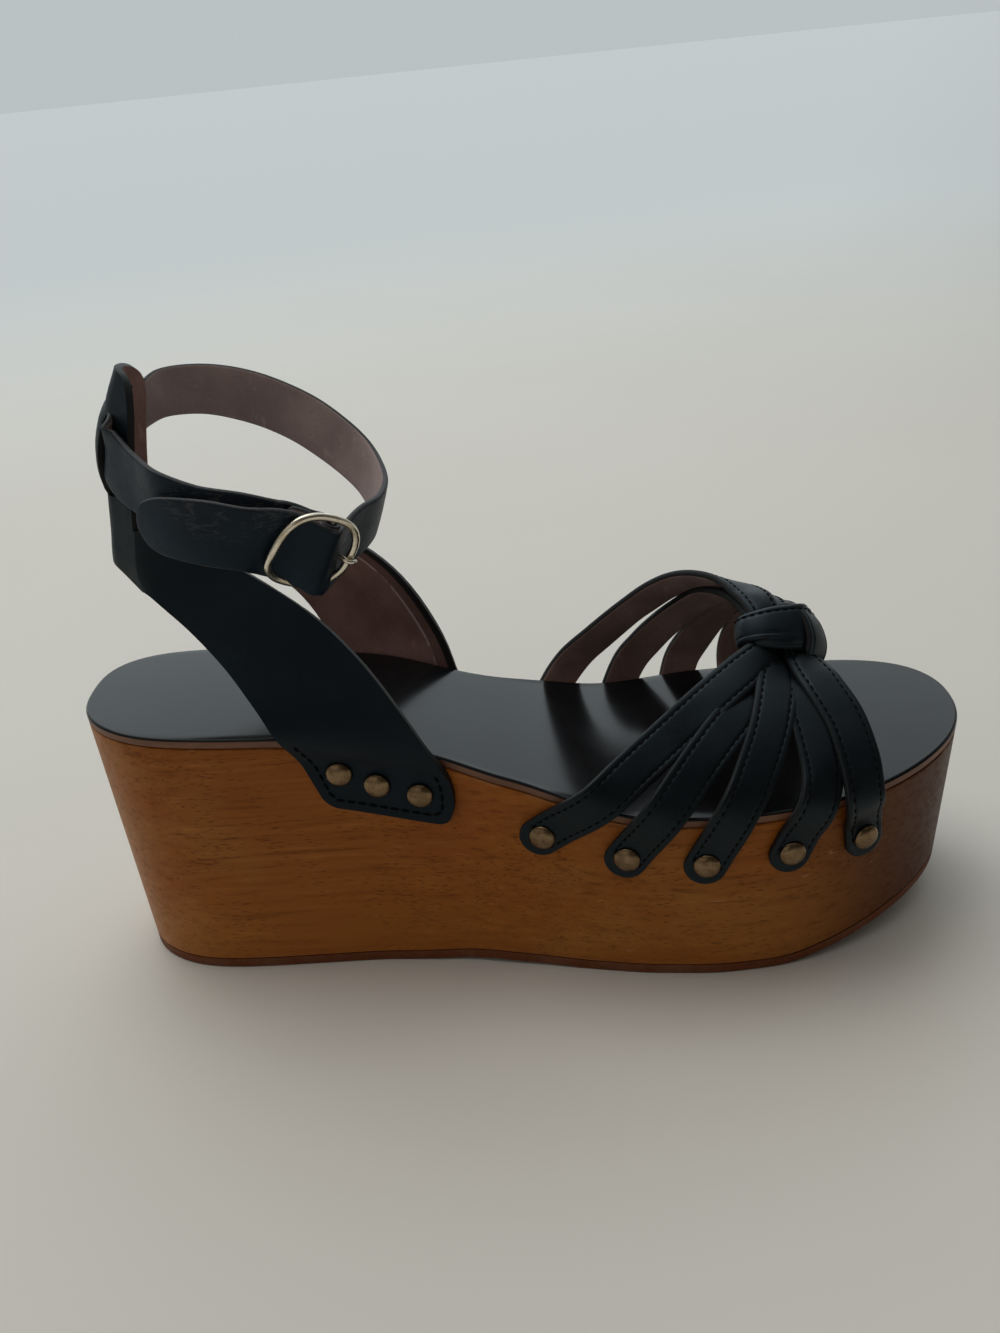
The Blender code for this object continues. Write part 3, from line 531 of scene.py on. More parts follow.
def stainedWood():
    # light wood under an orange-brown stain: fibres run heel to toe, pores stain dark; painted light
    # lightens the heel end and painted shade darkens the toe
    finish = Finish("stainedWood")
    sway = finish.cloud(9.0, 2.0)
    fibre = finish.cloud(620.0, 5.0, 0.6, finish.stretched((0.035, 1.0, 1.0)), 0.15)
    streak = finish.cloud(110.0, 3.0, 0.55, finish.stretched((0.06, 1.0, 1.0)), 0.3)
    broad = finish.cloud(15.0, 3.0, 0.5, finish.stretched((0.7, 1.0, 1.3)))
    wave = {"wave_type": "BANDS", "bands_direction": "Z", "wave_profile": "SIN"}
    tilted = finish.stretched((0.10, 0.45, 1.0), (0.0, 0.03, 0.0))
    sockets = {"Vector": tilted, "Scale": 42.0, "Distortion": 5.0, "Detail": 3.0, "Detail Scale": 1.1}
    rings = finish.node("ShaderNodeTexWave", wave, sockets, "Fac")
    pores = finish.cells(1750.0, "F1", finish.stretched((0.13, 1.0, 1.0)))
    pores = finish.step(pores, 0.30, 0.14) * finish.step(finish.cloud(48.0, 3.0), 0.34, 0.56)
    flecks = finish.cells(1300.0, "F1", finish.stretched((0.10, 1.0, 1.0), (0.0, 0.02, 0.0)))
    flecks = finish.step(flecks, 0.16, 0.08) * finish.step(finish.cloud(70.0, 2.0), 0.50, 0.62)
    patches = finish.cloud(24.0, 3.0, 0.5, finish.stretched((0.8, 1.0, 1.0)))
    x, z = finish.split("X"), finish.split("Z")
    # painted light at the heel end and painted shade toward the toe
    heel = finish.step(x, -0.105, -0.128)
    toe = finish.step(x, 0.055, 0.112)
    low = finish.step(z, 0.030, 0.006)
    rub = finish.step(finish.read("rim"), 0.9, 0.2) * finish.step(finish.cloud(150.0, 3.0), 0.45, 0.7)
    scratch = finish.cloud(420.0, 2.0, 0.5, finish.stretched((0.05, 1.0, 1.0), (0.0, 0.12, 0.0)))
    scratch = finish.step(scratch, 0.72, 0.76) * finish.step(sway, 0.5, 0.62)
    base = finish.paint(
        (0.345, 0.104, 0.0100),
        (finish.step(broad, 0.28, 0.72), (0.290, 0.080, 0.0065)),
        (finish.step(patches, 0.48, 0.66) * 0.55, (0.370, 0.150, 0.028)),   # where the stain took less
        (finish.step(patches, 0.44, 0.30) * 0.50, (0.300, 0.066, 0.008)),   # and more
        (finish.step(streak, 0.45, 0.78) * 0.16, (0.180, 0.048, 0.006)),
        (finish.step(rings, 0.2, 0.9) * 0.10, (0.430, 0.156, 0.022)),
        (finish.step(fibre, 0.50, 0.72) * 0.55, (0.120, 0.032, 0.005)),
        (finish.step(fibre, 0.46, 0.26) * 0.34, (0.520, 0.200, 0.036)),
        (pores * 0.50, (0.070, 0.020, 0.004)),
        (flecks * 0.35, (0.560, 0.270, 0.090)),
        (low * 0.25, (0.480, 0.190, 0.036)),
        # painted light: the heel end is lightened
        (heel * 0.55, (0.560, 0.290, 0.140)),
        # painted shade: the wood is darkened toward the toe
        (toe * 0.88, (0.050, 0.012, 0.002)),
        (rub * 0.45, (0.500, 0.260, 0.120)),
        (scratch * 0.40, (0.560, 0.330, 0.180)),
    )
    rough = 0.40 + finish.step(fibre, 0.4, 0.75) * 0.18 + finish.step(broad, 0.3, 0.7) * 0.06
    return finish.surface(
        Base_Color=base,
        Roughness=rough,
        Normal=finish.bumps((streak * 0.14, 0.30), (fibre * 0.10 - pores * 0.16 + flecks * 0.06, 0.9)),
        Specular_IOR_Level=0.18,
    )


def treadRubber():
    # dusty red-brown rubber, with small square studs under the sole and painted shade in the grooves
    # between them
    finish = Finish("treadRubber")
    grain = finish.cloud(900.0, 4.0, 0.7)
    dust = finish.step(finish.cloud(60.0, 4.0), 0.45, 0.72)
    studs = 1.0
    for way in ("X", "Y"):
        settings = {"wave_type": "BANDS", "bands_direction": way, "wave_profile": "SIN"}
        rib = finish.node("ShaderNodeTexWave", settings, {"Vector": finish.place, "Scale": 90.0}, "Fac")
        studs = finish.step(rib, 0.10, 0.42) * studs
    under = finish.step(finish.read("rise"), 0.06, 0.0)
    base = finish.paint(
        (0.128, 0.034, 0.010),
        (finish.step(grain, 0.3, 0.7), (0.178, 0.052, 0.016)),
        (dust * 0.35, (0.240, 0.140, 0.085)),
        # painted shade in the grooves between the studs
        (under * (1.0 - studs) * 0.6, (0.030, 0.012, 0.007)),
    )
    return finish.surface(
        Base_Color=base,
        Roughness=0.60 + grain * 0.22,
        Normal=finish.bumps((studs * under * 0.9, 1.0), (grain * 0.08, 0.5)),
        Specular_IOR_Level=0.30,
    )


def paleBrass():
    # bright plated wire with a light haze and fine hairlines
    finish = Finish("paleBrass")
    haze = finish.cloud(260.0, 4.0)
    hair = finish.cloud(1900.0, 2.0, where=finish.stretched((1.0, 0.12, 0.5), (0.5, 0.2, 0.7)))
    base = finish.mix(finish.step(haze, 0.45, 0.75), (0.800, 0.735, 0.600), (0.610, 0.520, 0.370))
    return finish.surface(
        Base_Color=base,
        Roughness=0.16 + haze * 0.14 + finish.step(hair, 0.55, 0.75) * 0.10,
        Normal=finish.bumps((hair * 0.015, 0.35)),
        Metallic=1.0,
    )


def antiqueBrass():
    # nail heads: pale on the crown, brown-black in the dents, and darkened round the rim by painted shadow
    finish = Finish("antiqueBrass")
    pits = finish.cloud(950.0, 4.0, 0.65)
    blots = finish.cloud(330.0, 3.0)
    crown = finish.read("rim")
    base = finish.paint(
        (0.240, 0.165, 0.092),
        (finish.step(blots, 0.35, 0.7), (0.155, 0.100, 0.054)),
        (finish.step(pits, 0.52, 0.74) * 0.5, (0.080, 0.050, 0.025)),
        # painted shadow: the head darkens toward its rim, where it sits on the leather
        (finish.step(crown, 0.46, 0.0) * 0.9, (0.028, 0.018, 0.010)),
    )
    return finish.surface(
        Base_Color=base,
        Roughness=0.20 + pits * 0.18,
        Normal=finish.bumps((blots * 0.30, 0.45), (pits * 0.04, 0.4)),
        Metallic=1.0,
    )


def blackThread():
    # waxed thread, its strands as fine bumps
    finish = Finish("blackThread")
    shade = (0.0045, 0.0045, 0.0050)
    twist = finish.cloud(3200.0, 2.0)
    return finish.surface(
        Base_Color=finish.mix(twist, shade, tinted(shade, 1.8)),
        Roughness=0.75 + twist * 0.15,
        Normal=finish.bumps((twist * 0.05, 0.6)),
        Specular_IOR_Level=0.05,
    )


leathers = {
    # colour, gloss, grain, wear and painted highlight along the edges, shine and the middle of a cracked
    # patch
    "strapLeather": ((0.0030, 0.0042, 0.0056), 0.36, 0.50, 0.3, 0.27),
    # painted light: the knot's colour is lifted above the straps' own, as its top faces the light
    "knotLeather": ((0.0048, 0.0074, 0.0104), 0.34, 0.70, 0.4, 0.38),
    "slingLeather": ((0.0026, 0.0048, 0.0076), 0.42, 0.45, 0.3, 0.20),
    # painted light: the ankle strap's colour is lifted lighter and bluer than the straps' own, for the
    # window it reflects
    "ankleLeather": ((0.0060, 0.0108, 0.0180), 0.42, 0.60, 0.5, 0.20, (63.0, -29.0, 143.5)),
}
strapLeather, knotLeather, slingLeather, ankleLeather = [
    blackLeather(name, *look) for name, look in leathers.items()
]
blackEdge = cutEdge("blackEdge", (0.0045, 0.0050, 0.0056))
ankleEdge = cutEdge("ankleEdge", (0.0260, 0.0275, 0.0300))
vampLining = rawLining("vampLining", (0.380, 0.255, 0.230), (0.240, 0.160, 0.145))
slingLining = rawLining("slingLining", (0.350, 0.205, 0.180), (0.230, 0.128, 0.110), turned=True)
ankleLining = rawLining("ankleLining", (0.430, 0.335, 0.320), (0.310, 0.240, 0.230))
stitchThread = blackThread()
print("finishes mixed")


def outlineInset(station, height, side):
    # inward way of the sole's outline, level with the ground
    near = max(station - 0.02, 0.0)
    far = min(station + 0.02, sole["length"])
    index = 0 if side < 0 else 1
    a, b = soleEdges(near, height)[index], soleEdges(far, height)[index]
    run = Vector((b.x - a.x, b.y - a.y, 0.0))
    if station <= 0.0:
        return Vector((1.0, 0.0, 0.0))
    if station >= sole["length"]:
        return Vector((-1.0, 0.0, 0.0))
    return Vector((run.y * side, -run.x * side, 0.0)).normalized()


def solePlate(name, lowOf, highOf, settings):
    # one layer of the sole, as rings round its section from heel to toe
    stations, rim, steps = settings["stations"], settings["rim"], settings["roundSteps"]
    walls, across, topEdge = settings["wallRows"], settings["acrossRows"], settings.get("topEdge", 0)
    turns = [math.pi / 2 * k / steps for k in range(steps + 1)]
    curve = [(rim * (1.0 - math.sin(turn)), rim * (1.0 - math.cos(turn))) for turn in turns]
    ring = [("low", inset, rise) for inset, rise in curve]                # bottom edge, rounded
    ring += [("wall", k / walls, 0.0) for k in range(1, walls)]
    ring += [("high", inset, drop) for inset, drop in reversed(curve)]    # top edge, rounded
    half = len(ring)
    total = 2 * half + 2 * (across - 1)

    def sidePoint(station, kind, first, second, side):
        low, high = lowOf(station), highOf(station)
        if kind == "wall":
            height, inset = low + rim + (high - low - 2 * rim) * first, 0.0
        elif kind == "low":
            height, inset = low + second, first
        else:
            height, inset = high - second, first
        point = soleEdges(station, height)[0 if side < 0 else 1]
        return point + outlineInset(station, height, side) * inset

    cache = {}

    def place(column, row):
        column %= total
        if row not in cache:
            cache.clear()
            station = sole["length"] * (1.0 - math.cos(math.pi * row / stations)) / 2.0
            outer = [sidePoint(station, *part, -1) for part in ring]
            inner = [sidePoint(station, *part, 1) for part in ring]
            top = [outer[-1].lerp(inner[-1], k / across) for k in range(1, across)]
            for point in (*top, outer[-1], inner[-1]):
                point.z = highOf(min(max(point.x, 0.0), sole["length"]))
            base = [inner[0].lerp(outer[0], k / across) for k in range(1, across)]
            cache[row] = [*outer, *top, *reversed(inner), *base]
        return cache[row][column]

    def partOf(column, row):
        # 1 is the top face, with rows of its rounded edge where the finish runs over it
        return int(half - 1 - topEdge <= column < half + across - 1 + topEdge)

    thing, cells = layGrid(name, total, stations, place, partOf)
    rims, rises = [], []
    for column, row in cells:
        column %= total
        mirrored = 2 * half + across - 2 - column
        fold = column if column < half else min(max(mirrored, 0), half)
        near = min(abs(fold - steps / 2.0), abs(half - 1 - steps / 2.0 - fold))
        rims.append(min(near * 0.4, 3.0))
        rises.append(min(fold / (half - 1), 1.0))
    keep(thing, "rim", rims)
    keep(thing, "rise", rises)
    return weld(thing)


def rubberTop(station):
    return treadHeight(station) + sole["rubberThick"]


def woodLow(station):
    return rubberTop(station) + sole["glueGap"]


def insoleBase(station):
    return footbedHeight(station) - sole["insoleThick"]


def woodHigh(station):
    return insoleBase(station) - sole["glueGap"]


rubberShape = {"stations": 150, "rim": 0.5, "roundSteps": 3, "wallRows": 3, "acrossRows": 20}
rubber = solePlate("treadPlate", treadHeight, rubberTop, rubberShape)
dress(rubber, treadRubber())
hand(rubber, "tread_rubber", "outsole")

woodShape = {"stations": 170, "rim": 0.7, "roundSteps": 4, "wallRows": 16, "acrossRows": 12}
platform = solePlate("woodBody", woodLow, woodHigh, woodShape)
dress(platform, stainedWood())
hand(platform, "stained_wood", "wood_platform")

insoleShape = {"stations": 190, "rim": 0.9, "roundSteps": 6, "wallRows": 4, "acrossRows": 26, "topEdge": 5}
insole = solePlate("footbedLeather", insoleBase, footbedHeight, insoleShape)
dress(insole, insoleBand(), insoleTop())
hand(insole, "insole_leather", "insole")
print("sole lofted")


# rows of points, as distances in from the edge; closest where the edge turns and the stitches sink
bandTop = (0.0, 0.10, 0.30, 0.60, 0.95, 1.30, 1.55, 1.80, 2.05, 2.30, 2.70, 3.40, 4.30)
bandBase = (0.30, 0.95, 2.30, 3.80)
tipRows = 12          # rows round each end
sinkSpread = 0.30     # half breadth of the groove that the stitches pull
lookAround = 0.4      # length along the strap over which its direction is taken


def bandHeights(inset, settings):
    # height of the face over the middle of the leather, at a distance in from the edge
    turn = min(max(inset, 0.0) / settings["rim"], 1.0)
    swell = math.sqrt(max(1.0 - (1.0 - turn) ** 2, 0.0))
    sink = settings["sinkDepth"] * math.exp(-(((inset - settings["sinkInset"]) / sinkSpread) ** 2))
    return settings["above"] * swell - sink, settings["below"] * swell


class Band:
    # a leather strap along a track: its middle, the way across it and the way it faces
    def __init__(self, points, faces, halves, settings, closed=False):
        self.track = Track(points)
        self.faces, self.halves, self.settings, self.closed = faces, halves, settings, closed

    def half(self, reach):
        half = self.track.at(reach, self.halves)
        if self.closed:
            return half
        tip = min(reach, self.track.length - reach)
        radius = self.settings["tipRadius"]
        if tip < radius:
            half *= math.sqrt(max(1.0 - ((radius - tip) / radius) ** 2, 0.0))
        return half

    def inset(self, reach, aside, full):
        tip = min(reach, self.track.length - reach)
        radius = self.settings["tipRadius"]
        if self.closed or tip >= radius:
            return full - abs(aside)
        return radius - math.hypot(radius - tip, aside * radius / full)

    def axes(self, reach):
        length = self.track.length
        ahead, behind = reach + lookAround, reach - lookAround
        if self.closed:
            ahead, behind = ahead % length, behind % length
        along = (self.track.at(ahead) - self.track.at(behind)).normalized()
        face = self.track.at(reach, self.faces).normalized()
        across = face.cross(along).normalized()
        return across, along.cross(across).normalized(), along

    def point(self, reach, aside, top=True, lift=0.0):
        across, out, _ = self.axes(reach)
        full = self.track.at(reach, self.halves)
        inset = self.inset(reach, aside, full)
        above, below = bandHeights(inset, self.settings)
        share = min(abs(aside) / full, 1.0)
        middle = self.settings["crown"] * (1.0 - share**2) * min(max(inset, 0.0), 1.0)
        height = above + middle if top else -below
        height = height - self.curl(reach) * share**2 + self.ripple(reach, aside)
        return self.track.at(reach) + across * aside + out * (height + lift)

    def curl(self, reach):
        # how far both edges bend down, most at one place along the strap
        amount, centre, span = self.settings.get("curl", (0.0, 0.0, 1.0))
        return amount * ease(1.0 - abs(reach - centre) / span)

    def ripple(self, reach, aside):
        # slow waves of the worn leather
        amount, along, across, start, level = self.settings["ripple"]
        return amount * noise.noise(Vector((reach * along + start, aside * across, level)))

    def stations(self):
        length, step = self.track.length, self.settings["step"]
        if self.closed:
            count = round(length / step)
            return [length * k / count for k in range(count + 1)]
        radius = self.settings["tipRadius"]
        near = [radius * (1.0 - math.cos(math.pi / 2 * k / tipRows)) for k in range(tipRows)]
        count = round((length - 2 * radius) / step)
        middle = [radius + (length - 2 * radius) * k / count for k in range(count + 1)]
        return [*near, *middle, *(length - reach for reach in reversed(near))]

    def mesh(self, name):
        reaches = self.stations()
        ring = [(1, inset, True) for inset in bandTop] + [(0, 0.0, True)]
        ring += [(-1, inset, True) for inset in reversed(bandTop)]
        ring += [(-1, inset, False) for inset in bandBase] + [(0, 0.0, False)]
        ring += [(1, inset, False) for inset in reversed(bandBase)]
        rims = []
        scale = self.settings["half"]

        def aside(column, reach):
            side, inset, _ = ring[column % len(ring)]
            half = self.half(reach)
            return side * max(half - inset * half / scale, 0.0)

        def place(column, row):
            reach = reaches[row]
            where = aside(column, reach)
            rims.append(max(self.inset(reach, where, self.track.at(reach, self.halves)), 0.0))
            return self.point(reach, where, ring[column % len(ring)][2])

        tops = 2 * len(bandTop)

        def partOf(column, row):
            # 0 is the face, 1 the cut edge and 2 the lining
            if column < 2 or tops - 2 <= column <= tops or column >= len(ring) - 1:
                return 1
            return 0 if column < tops else 2

        thing, _ = layGrid(name, len(ring), len(reaches) - 1, place, partOf)
        keep(thing, "rim", rims)
        return weld(thing)

    def seam(self, start, end, side):
        # places for the stitches of one line
        found = []
        inset, pitch = self.settings["sinkInset"], self.settings["pitch"]
        count = int((end - start) / pitch)
        for k in range(count + 1):
            reach = start + k * pitch
            half = self.half(reach)
            where = side * (half - inset * half / self.settings["half"])
            _, out, _ = self.axes(reach)
            ahead = self.point(min(reach + 0.3, self.track.length), where)
            run = (ahead - self.point(reach, where)).normalized()
            found.append((self.point(reach, where, lift=0.06), run, out))
        return found


def stitchSeed(long, wide, high):
    # one stitch: a flattened bead lying along its run
    clearSelection()
    bpy.ops.mesh.primitive_uv_sphere_add(segments=8, ring_count=5, radius=0.5)
    seed = bpy.context.object
    lying = {"value": math.pi / 2, "orient_axis": "Y", "center_override": (0.0, 0.0, 0.0)}
    size = {"value": (long, wide, high)}
    editAll(seed, (bpy.ops.transform.rotate, lying), (bpy.ops.transform.resize, size))
    corners = [vertex.co.copy() for vertex in seed.data.vertices]
    faces = [tuple(face.vertices) for face in seed.data.polygons]
    bpy.data.objects.remove(seed)
    return corners, faces


def sew(name, places, finish, slot, size):
    # every stitch is a copy of one, all joined into a single mesh
    corners, faces = stitchSeed(*size)
    points, skins = [], []
    for middle, run, out in places:
        aside = out.cross(run).normalized()
        out = run.cross(aside).normalized()
        start = len(points)
        points += [toFrame(middle + run * c.x + aside * c.y + out * c.z) for c in corners]
        skins += [tuple(start + corner for corner in face) for face in faces]
    mesh = bpy.data.meshes.new(name)
    mesh.from_pydata(points, [], skins)
    thing = weld(link(bpy.data.objects.new(name, mesh)), 0.001)
    dress(thing, finish)
    hand(thing, slot)


vamp = {
    # the five nails of one side, x and height on the wall; both sides have the same
    "rivets": ((129.0, 46.6), (151.0, 41.2), (171.5, 39.3), (193.6, 40.6), (213.6, 40.0)),
    # the straps' middles from the footbed to the knot, then from the knot down the inner side
    "outer": (
        ((143.2, -42.8, 57.4), (153.0, -38.4, 63.6), (164.0, -31.4, 69.4), (175.4, -24.6, 75.6)),
        ((160.0, -46.8, 54.4), (168.5, -41.0, 62.6), (176.5, -34.0, 69.2), (185.0, -25.0, 74.8)),
        ((178.7, -48.1, 53.6), (184.6, -42.4, 61.8), (190.3, -33.5, 70.4), (194.0, -23.0, 76.6)),
        ((200.0, -46.8, 54.0), (202.6, -41.5, 61.8), (202.0, -33.0, 70.0), (200.6, -23.0, 76.4)),
        ((213.2, -44.2, 54.0), (212.4, -39.0, 63.4), (210.4, -31.0, 70.6), (206.4, -21.5, 76.6)),
    ),
    "inner": (
        ((187.6, 14.0, 95.2), (174.2, 27.4, 92.4), (159.8, 34.4, 81.6),
         (144.5, 36.6, 66.5), (137.2, 35.6, 58.4)),
        ((191.0, 13.6, 91.6), (182.6, 27.4, 87.0), (172.6, 36.6, 76.0),
         (164.0, 40.8, 65.0), (158.0, 41.6, 56.6)),
        ((196.0, 13.4, 89.6), (191.4, 27.0, 84.4), (184.8, 37.6, 73.8),
         (179.8, 43.4, 63.6), (175.6, 45.4, 55.2)),
        ((201.0, 12.6, 87.6), (199.0, 25.0, 82.2), (196.2, 36.0, 72.8),
         (193.8, 43.2, 63.0), (193.0, 46.0, 55.0)),
        ((203.8, 11.6, 83.4), (207.6, 22.4, 77.6), (210.8, 32.6, 70.0),
         (213.2, 40.2, 61.8), (214.4, 43.6, 54.8)),
    ),
    "tipPast": 6.6,           # the straps run on past their nails
    "wallRun": 5.0,           # and stay on the wall this far above them
    "proud": 1.25,
    "width": 11.5,
    "gatheredWidth": 9.0,
    "gather": ((-5.0, 3.0), (-3.6, -1.3), (0.1, 0.8), (3.6, -1.3), (5.0, 3.0)),   # places in the knot
    "lift": (0.9, -0.8, 0.3, -0.8, 0.9),   # over and under each other beside the knot
    "heartX": 190.0,          # heart of the foot, which the straps face away from
    "heart": (6.0, 46.0),
    "settle": {-1: 14.0, 1: 30.0},         # height over which they turn to the wall's slope
    # the inner halves stand steeper past the knot, the first two the most
    "steep": (1.0, 1.0, 0.9, 0.4, 0.0),
    "steepFrom": 2.0,
    "steepOver": 11.0,
    "innerFrom": -3.0,
    "innerRise": 14.0,
    "castWidth": 10.4,
    "stitch": (1.6, 0.62, 0.5),
}
vampLeather = {
    "half": 5.6, "above": 0.95, "below": 1.15, "rim": 0.55, "crown": 0.16, "tipRadius": 5.6,
    "sinkInset": 1.85, "sinkDepth": 0.22, "pitch": 2.3, "step": 1.0,
}
knot = {
    "centre": Vector((197.4, -3.4, 84.8)),
    "run": Vector((0.06, 0.66, 0.75)).normalized(),
    "out": Vector((0.30, -0.72, 0.62)),
    "width": 10.6,
    "reach": 14.0,     # how far out the straps are still drawn together
    "rows": 96,
    "stitch": (1.5, 0.48, 0.5),
}
knot["out"] = (knot["out"] - knot["run"] * knot["out"].dot(knot["run"])).normalized()
knot["across"] = knot["run"].cross(knot["out"])


def knotPoint(across, along, outward):
    return knot["centre"] + knot["across"] * across + knot["run"] * along + knot["out"] * outward


def fromKnot(point):
    # distance from the knot's middle, and how far past it toward the inner side
    away = point - knot["centre"]
    return away.length, away.dot(knot["run"])


def steepening(past):
    return ease((past - vamp["steepFrom"]) / vamp["steepOver"])


def vampNormal(point, steep=0.0):
    # away from the foot; near the knot its own facing, and at the sole the wall's
    side = -1 if point.y < 0.0 else 1
    away, past = fromKnot(point)
    _, wallNormal = wallPoint(point.x, min(point.z, 50.0), side)
    heart = Vector(((point.x + vamp["heartX"]) / 2.0, *vamp["heart"]))
    steeper = Vector((point.x + 0.35 * (vamp["heartX"] - point.x), -2.0, point.z - vamp["innerRise"]))
    heart = heart.lerp(steeper, steep * steepening(past))
    near = ease(1.5 - away / knot["reach"]) * ease((9.0 - past) / 7.0)
    normal = (point - heart).normalized().lerp(knot["out"], near)
    lift = ease((point.z - footbedHeight(point.x) + 1.0) / vamp["settle"][side])
    return wallNormal.lerp(normal, lift).normalized()


def vampEnd(number, side):
    # the strap's tip, its nail and the last point on the wall above it
    x, height = vamp["rivets"][number]
    target = vamp["outer"][number][0] if side < 0 else vamp["inner"][number][-1]
    rivet, _ = wallPoint(x, height, side, vamp["proud"])
    heading = Vector((target[0] - rivet.x, 0.0, target[2] - rivet.z)).normalized()
    below, above = vamp["tipPast"], vamp["wallRun"]
    tip, _ = wallPoint(x - heading.x * below, height - heading.z * below, side, vamp["proud"])
    near, _ = wallPoint(x + heading.x * above, height + heading.z * above, side, vamp["proud"])
    return tip, rivet, near


def vampLine(number):
    # the middle line of one strap from tip to tip, and the way it faces
    across, outward = vamp["gather"][number]
    beyond = knot["width"] / 2.0 + 1.0
    line = [
        *vampEnd(number, -1),
        *map(Vector, vamp["outer"][number]),
        *[knotPoint(across, along, outward) for along in (-beyond, 0.0, beyond)],
        *map(Vector, vamp["inner"][number]),
        *reversed(vampEnd(number, 1)),
    ]
    drawn = smoothPath(line, 10)
    path, faces = [], []
    for k, point in enumerate(drawn):
        # a steeper half turns about its heel-side edge
        before, after = beside(drawn, k)
        along = (after - before).normalized()
        flat = vampNormal(point).cross(along).normalized()
        face = vampNormal(point, vamp["steep"][number])
        steep = face.cross(along).normalized()
        share = steepening(fromKnot(point)[1]) if point.y > vamp["innerFrom"] else 0.0
        path.append(point + (flat - steep) * share * vamp["castWidth"] / 2.0)
        faces.append(face)
    lifted, smoothed = [], []
    for k, point in enumerate(path):
        before, after = beside(faces, k, 2)
        face = (before + faces[k] * 2 + after).normalized()
        away = fromKnot(point)[0]
        leaving, fading = ease((away - 6.0) / 6.0), ease((50.0 - away) / 30.0)
        lifted.append(point + face * vamp["lift"][number] * leaving * fading)
        smoothed.append(face)
    return lifted, smoothed


def vampHalf(point):
    spread = ease((fromKnot(point)[0] - knot["width"] / 2.0) / knot["reach"])
    return (vamp["gatheredWidth"] + (vamp["width"] - vamp["gatheredWidth"]) * spread) / 2.0


vampSeams = []
for number in range(len(vamp["rivets"])):
    path, faces = vampLine(number)
    distances = [fromKnot(point)[0] for point in path]
    centre = Track(path).reaches[distances.index(min(distances))]
    band = Band(path, faces, [vampHalf(point) for point in path], {
        **vampLeather,
        "curl": (1.1, centre, 34.0),
        "ripple": (0.22, 0.11, 0.10, number * 7.0, number * 3.0),
    })
    strap = band.mesh(f"vampStrap{number + 1}")
    dress(strap, strapLeather, blackEdge, vampLining)
    hand(strap, "upper_leather", "vamp")
    for side in (-1, 1):
        vampSeams += band.seam(7.0, centre - 5.0, side)
        vampSeams += band.seam(centre + 6.0, band.track.length - 7.0, side)
sew("vampStitches", vampSeams, stitchThread, "upper_leather", vamp["stitch"])
print("vamp straps laid")


def knotTurn(name, settings, place):
    # a closed turn of strap round the gathered bundle
    points, faces, halves = [], [], []
    for k in range(knot["rows"] + 1):
        turn = 2.0 * math.pi * (k % knot["rows"]) / knot["rows"]
        point, half = place(turn)
        away = point - knot["centre"]
        points.append(point)
        halves.append(half)
        faces.append(away - knot["run"] * away.dot(knot["run"]))
    band = Band(points, faces, halves, settings, closed=True)
    turnPiece = band.mesh(name)
    dress(turnPiece, knotLeather, blackEdge, vampLining)
    hand(turnPiece, "upper_leather", "knot")
    return band


def boxy(value, power):
    # a power under 1 squares a round up
    return math.copysign(abs(value) ** power, value)


def firstTurn(turn):
    # the band across the front, narrower at its heel end
    share = math.cos(turn)
    across = (9.2 - 1.0 * share) * boxy(share, 0.86)
    out = 6.4 * boxy(math.sin(turn), 0.90)
    return knotPoint(across, 0.9 + 1.0 * share, out), 5.1 + 0.9 * share


def secondTurn(turn):
    # the turn below it, showing as a lip under the front band
    across = 8.6 * boxy(math.cos(turn), 0.95)
    out = 5.2 * boxy(math.sin(turn), 0.95)
    front = max(math.sin(turn), 0.0)
    return knotPoint(across, -2.3 * front, out + 0.7 * front), 4.3


knotBand = {
    "half": 5.6, "above": 0.95, "below": 0.95, "rim": 0.8, "crown": 0.55, "tipRadius": 5.0,
    "sinkInset": 1.6, "sinkDepth": 0.26, "pitch": 2.2, "step": 0.7,
    "ripple": (0.25, 0.16, 0.12, 0.0, 4.0),
}
first = knotTurn("knotFront", knotBand, firstTurn)
knotTurn("knotUnder", {**knotBand, "crown": 0.8, "sinkDepth": 0.15}, secondTurn)

# the end of the strap, brought up over the toe side and tucked in behind
lobe = {
    "plan": (
        (6.2, -8.4, 0.6), (9.2, -7.4, 2.6), (10.0, -4.2, 3.8), (9.5, -0.6, 4.3), (8.4, 2.6, 4.2),
        (6.8, 5.1, 3.4), (5.0, 6.6, 1.6), (3.6, 6.6, -0.8), (2.7, 5.2, -3.2),
    ),
    "width": knot["across"] * 0.80 - knot["out"] * 0.60,
    "half": 5.1,
}
lobePath = smoothPath([knotPoint(*spot) for spot in lobe["plan"]], 8)
lobeFaces = []
for k in range(len(lobePath)):
    before, after = beside(lobePath, k)
    lobeFaces.append((after - before).cross(lobe["width"]).normalized())
if lobeFaces[len(lobeFaces) // 2].dot(knot["across"]) < 0.0:
    lobeFaces = [face * -1.0 for face in lobeFaces]
lobeHalves = [lobe["half"]] * len(lobePath)
lobeBand = Band(lobePath, lobeFaces, lobeHalves, {**knotBand, "crown": 0.5, "step": 0.6})
lobePiece = lobeBand.mesh("knotLobe")
dress(lobePiece, knotLeather, blackEdge, knotLeather)
hand(lobePiece, "upper_leather", "knot")
knotSeams = first.seam(1.0, first.track.length - 1.0, -1)
sew("knotStitches", knotSeams, stitchThread, "upper_leather", knot["stitch"])
print("knot tied")


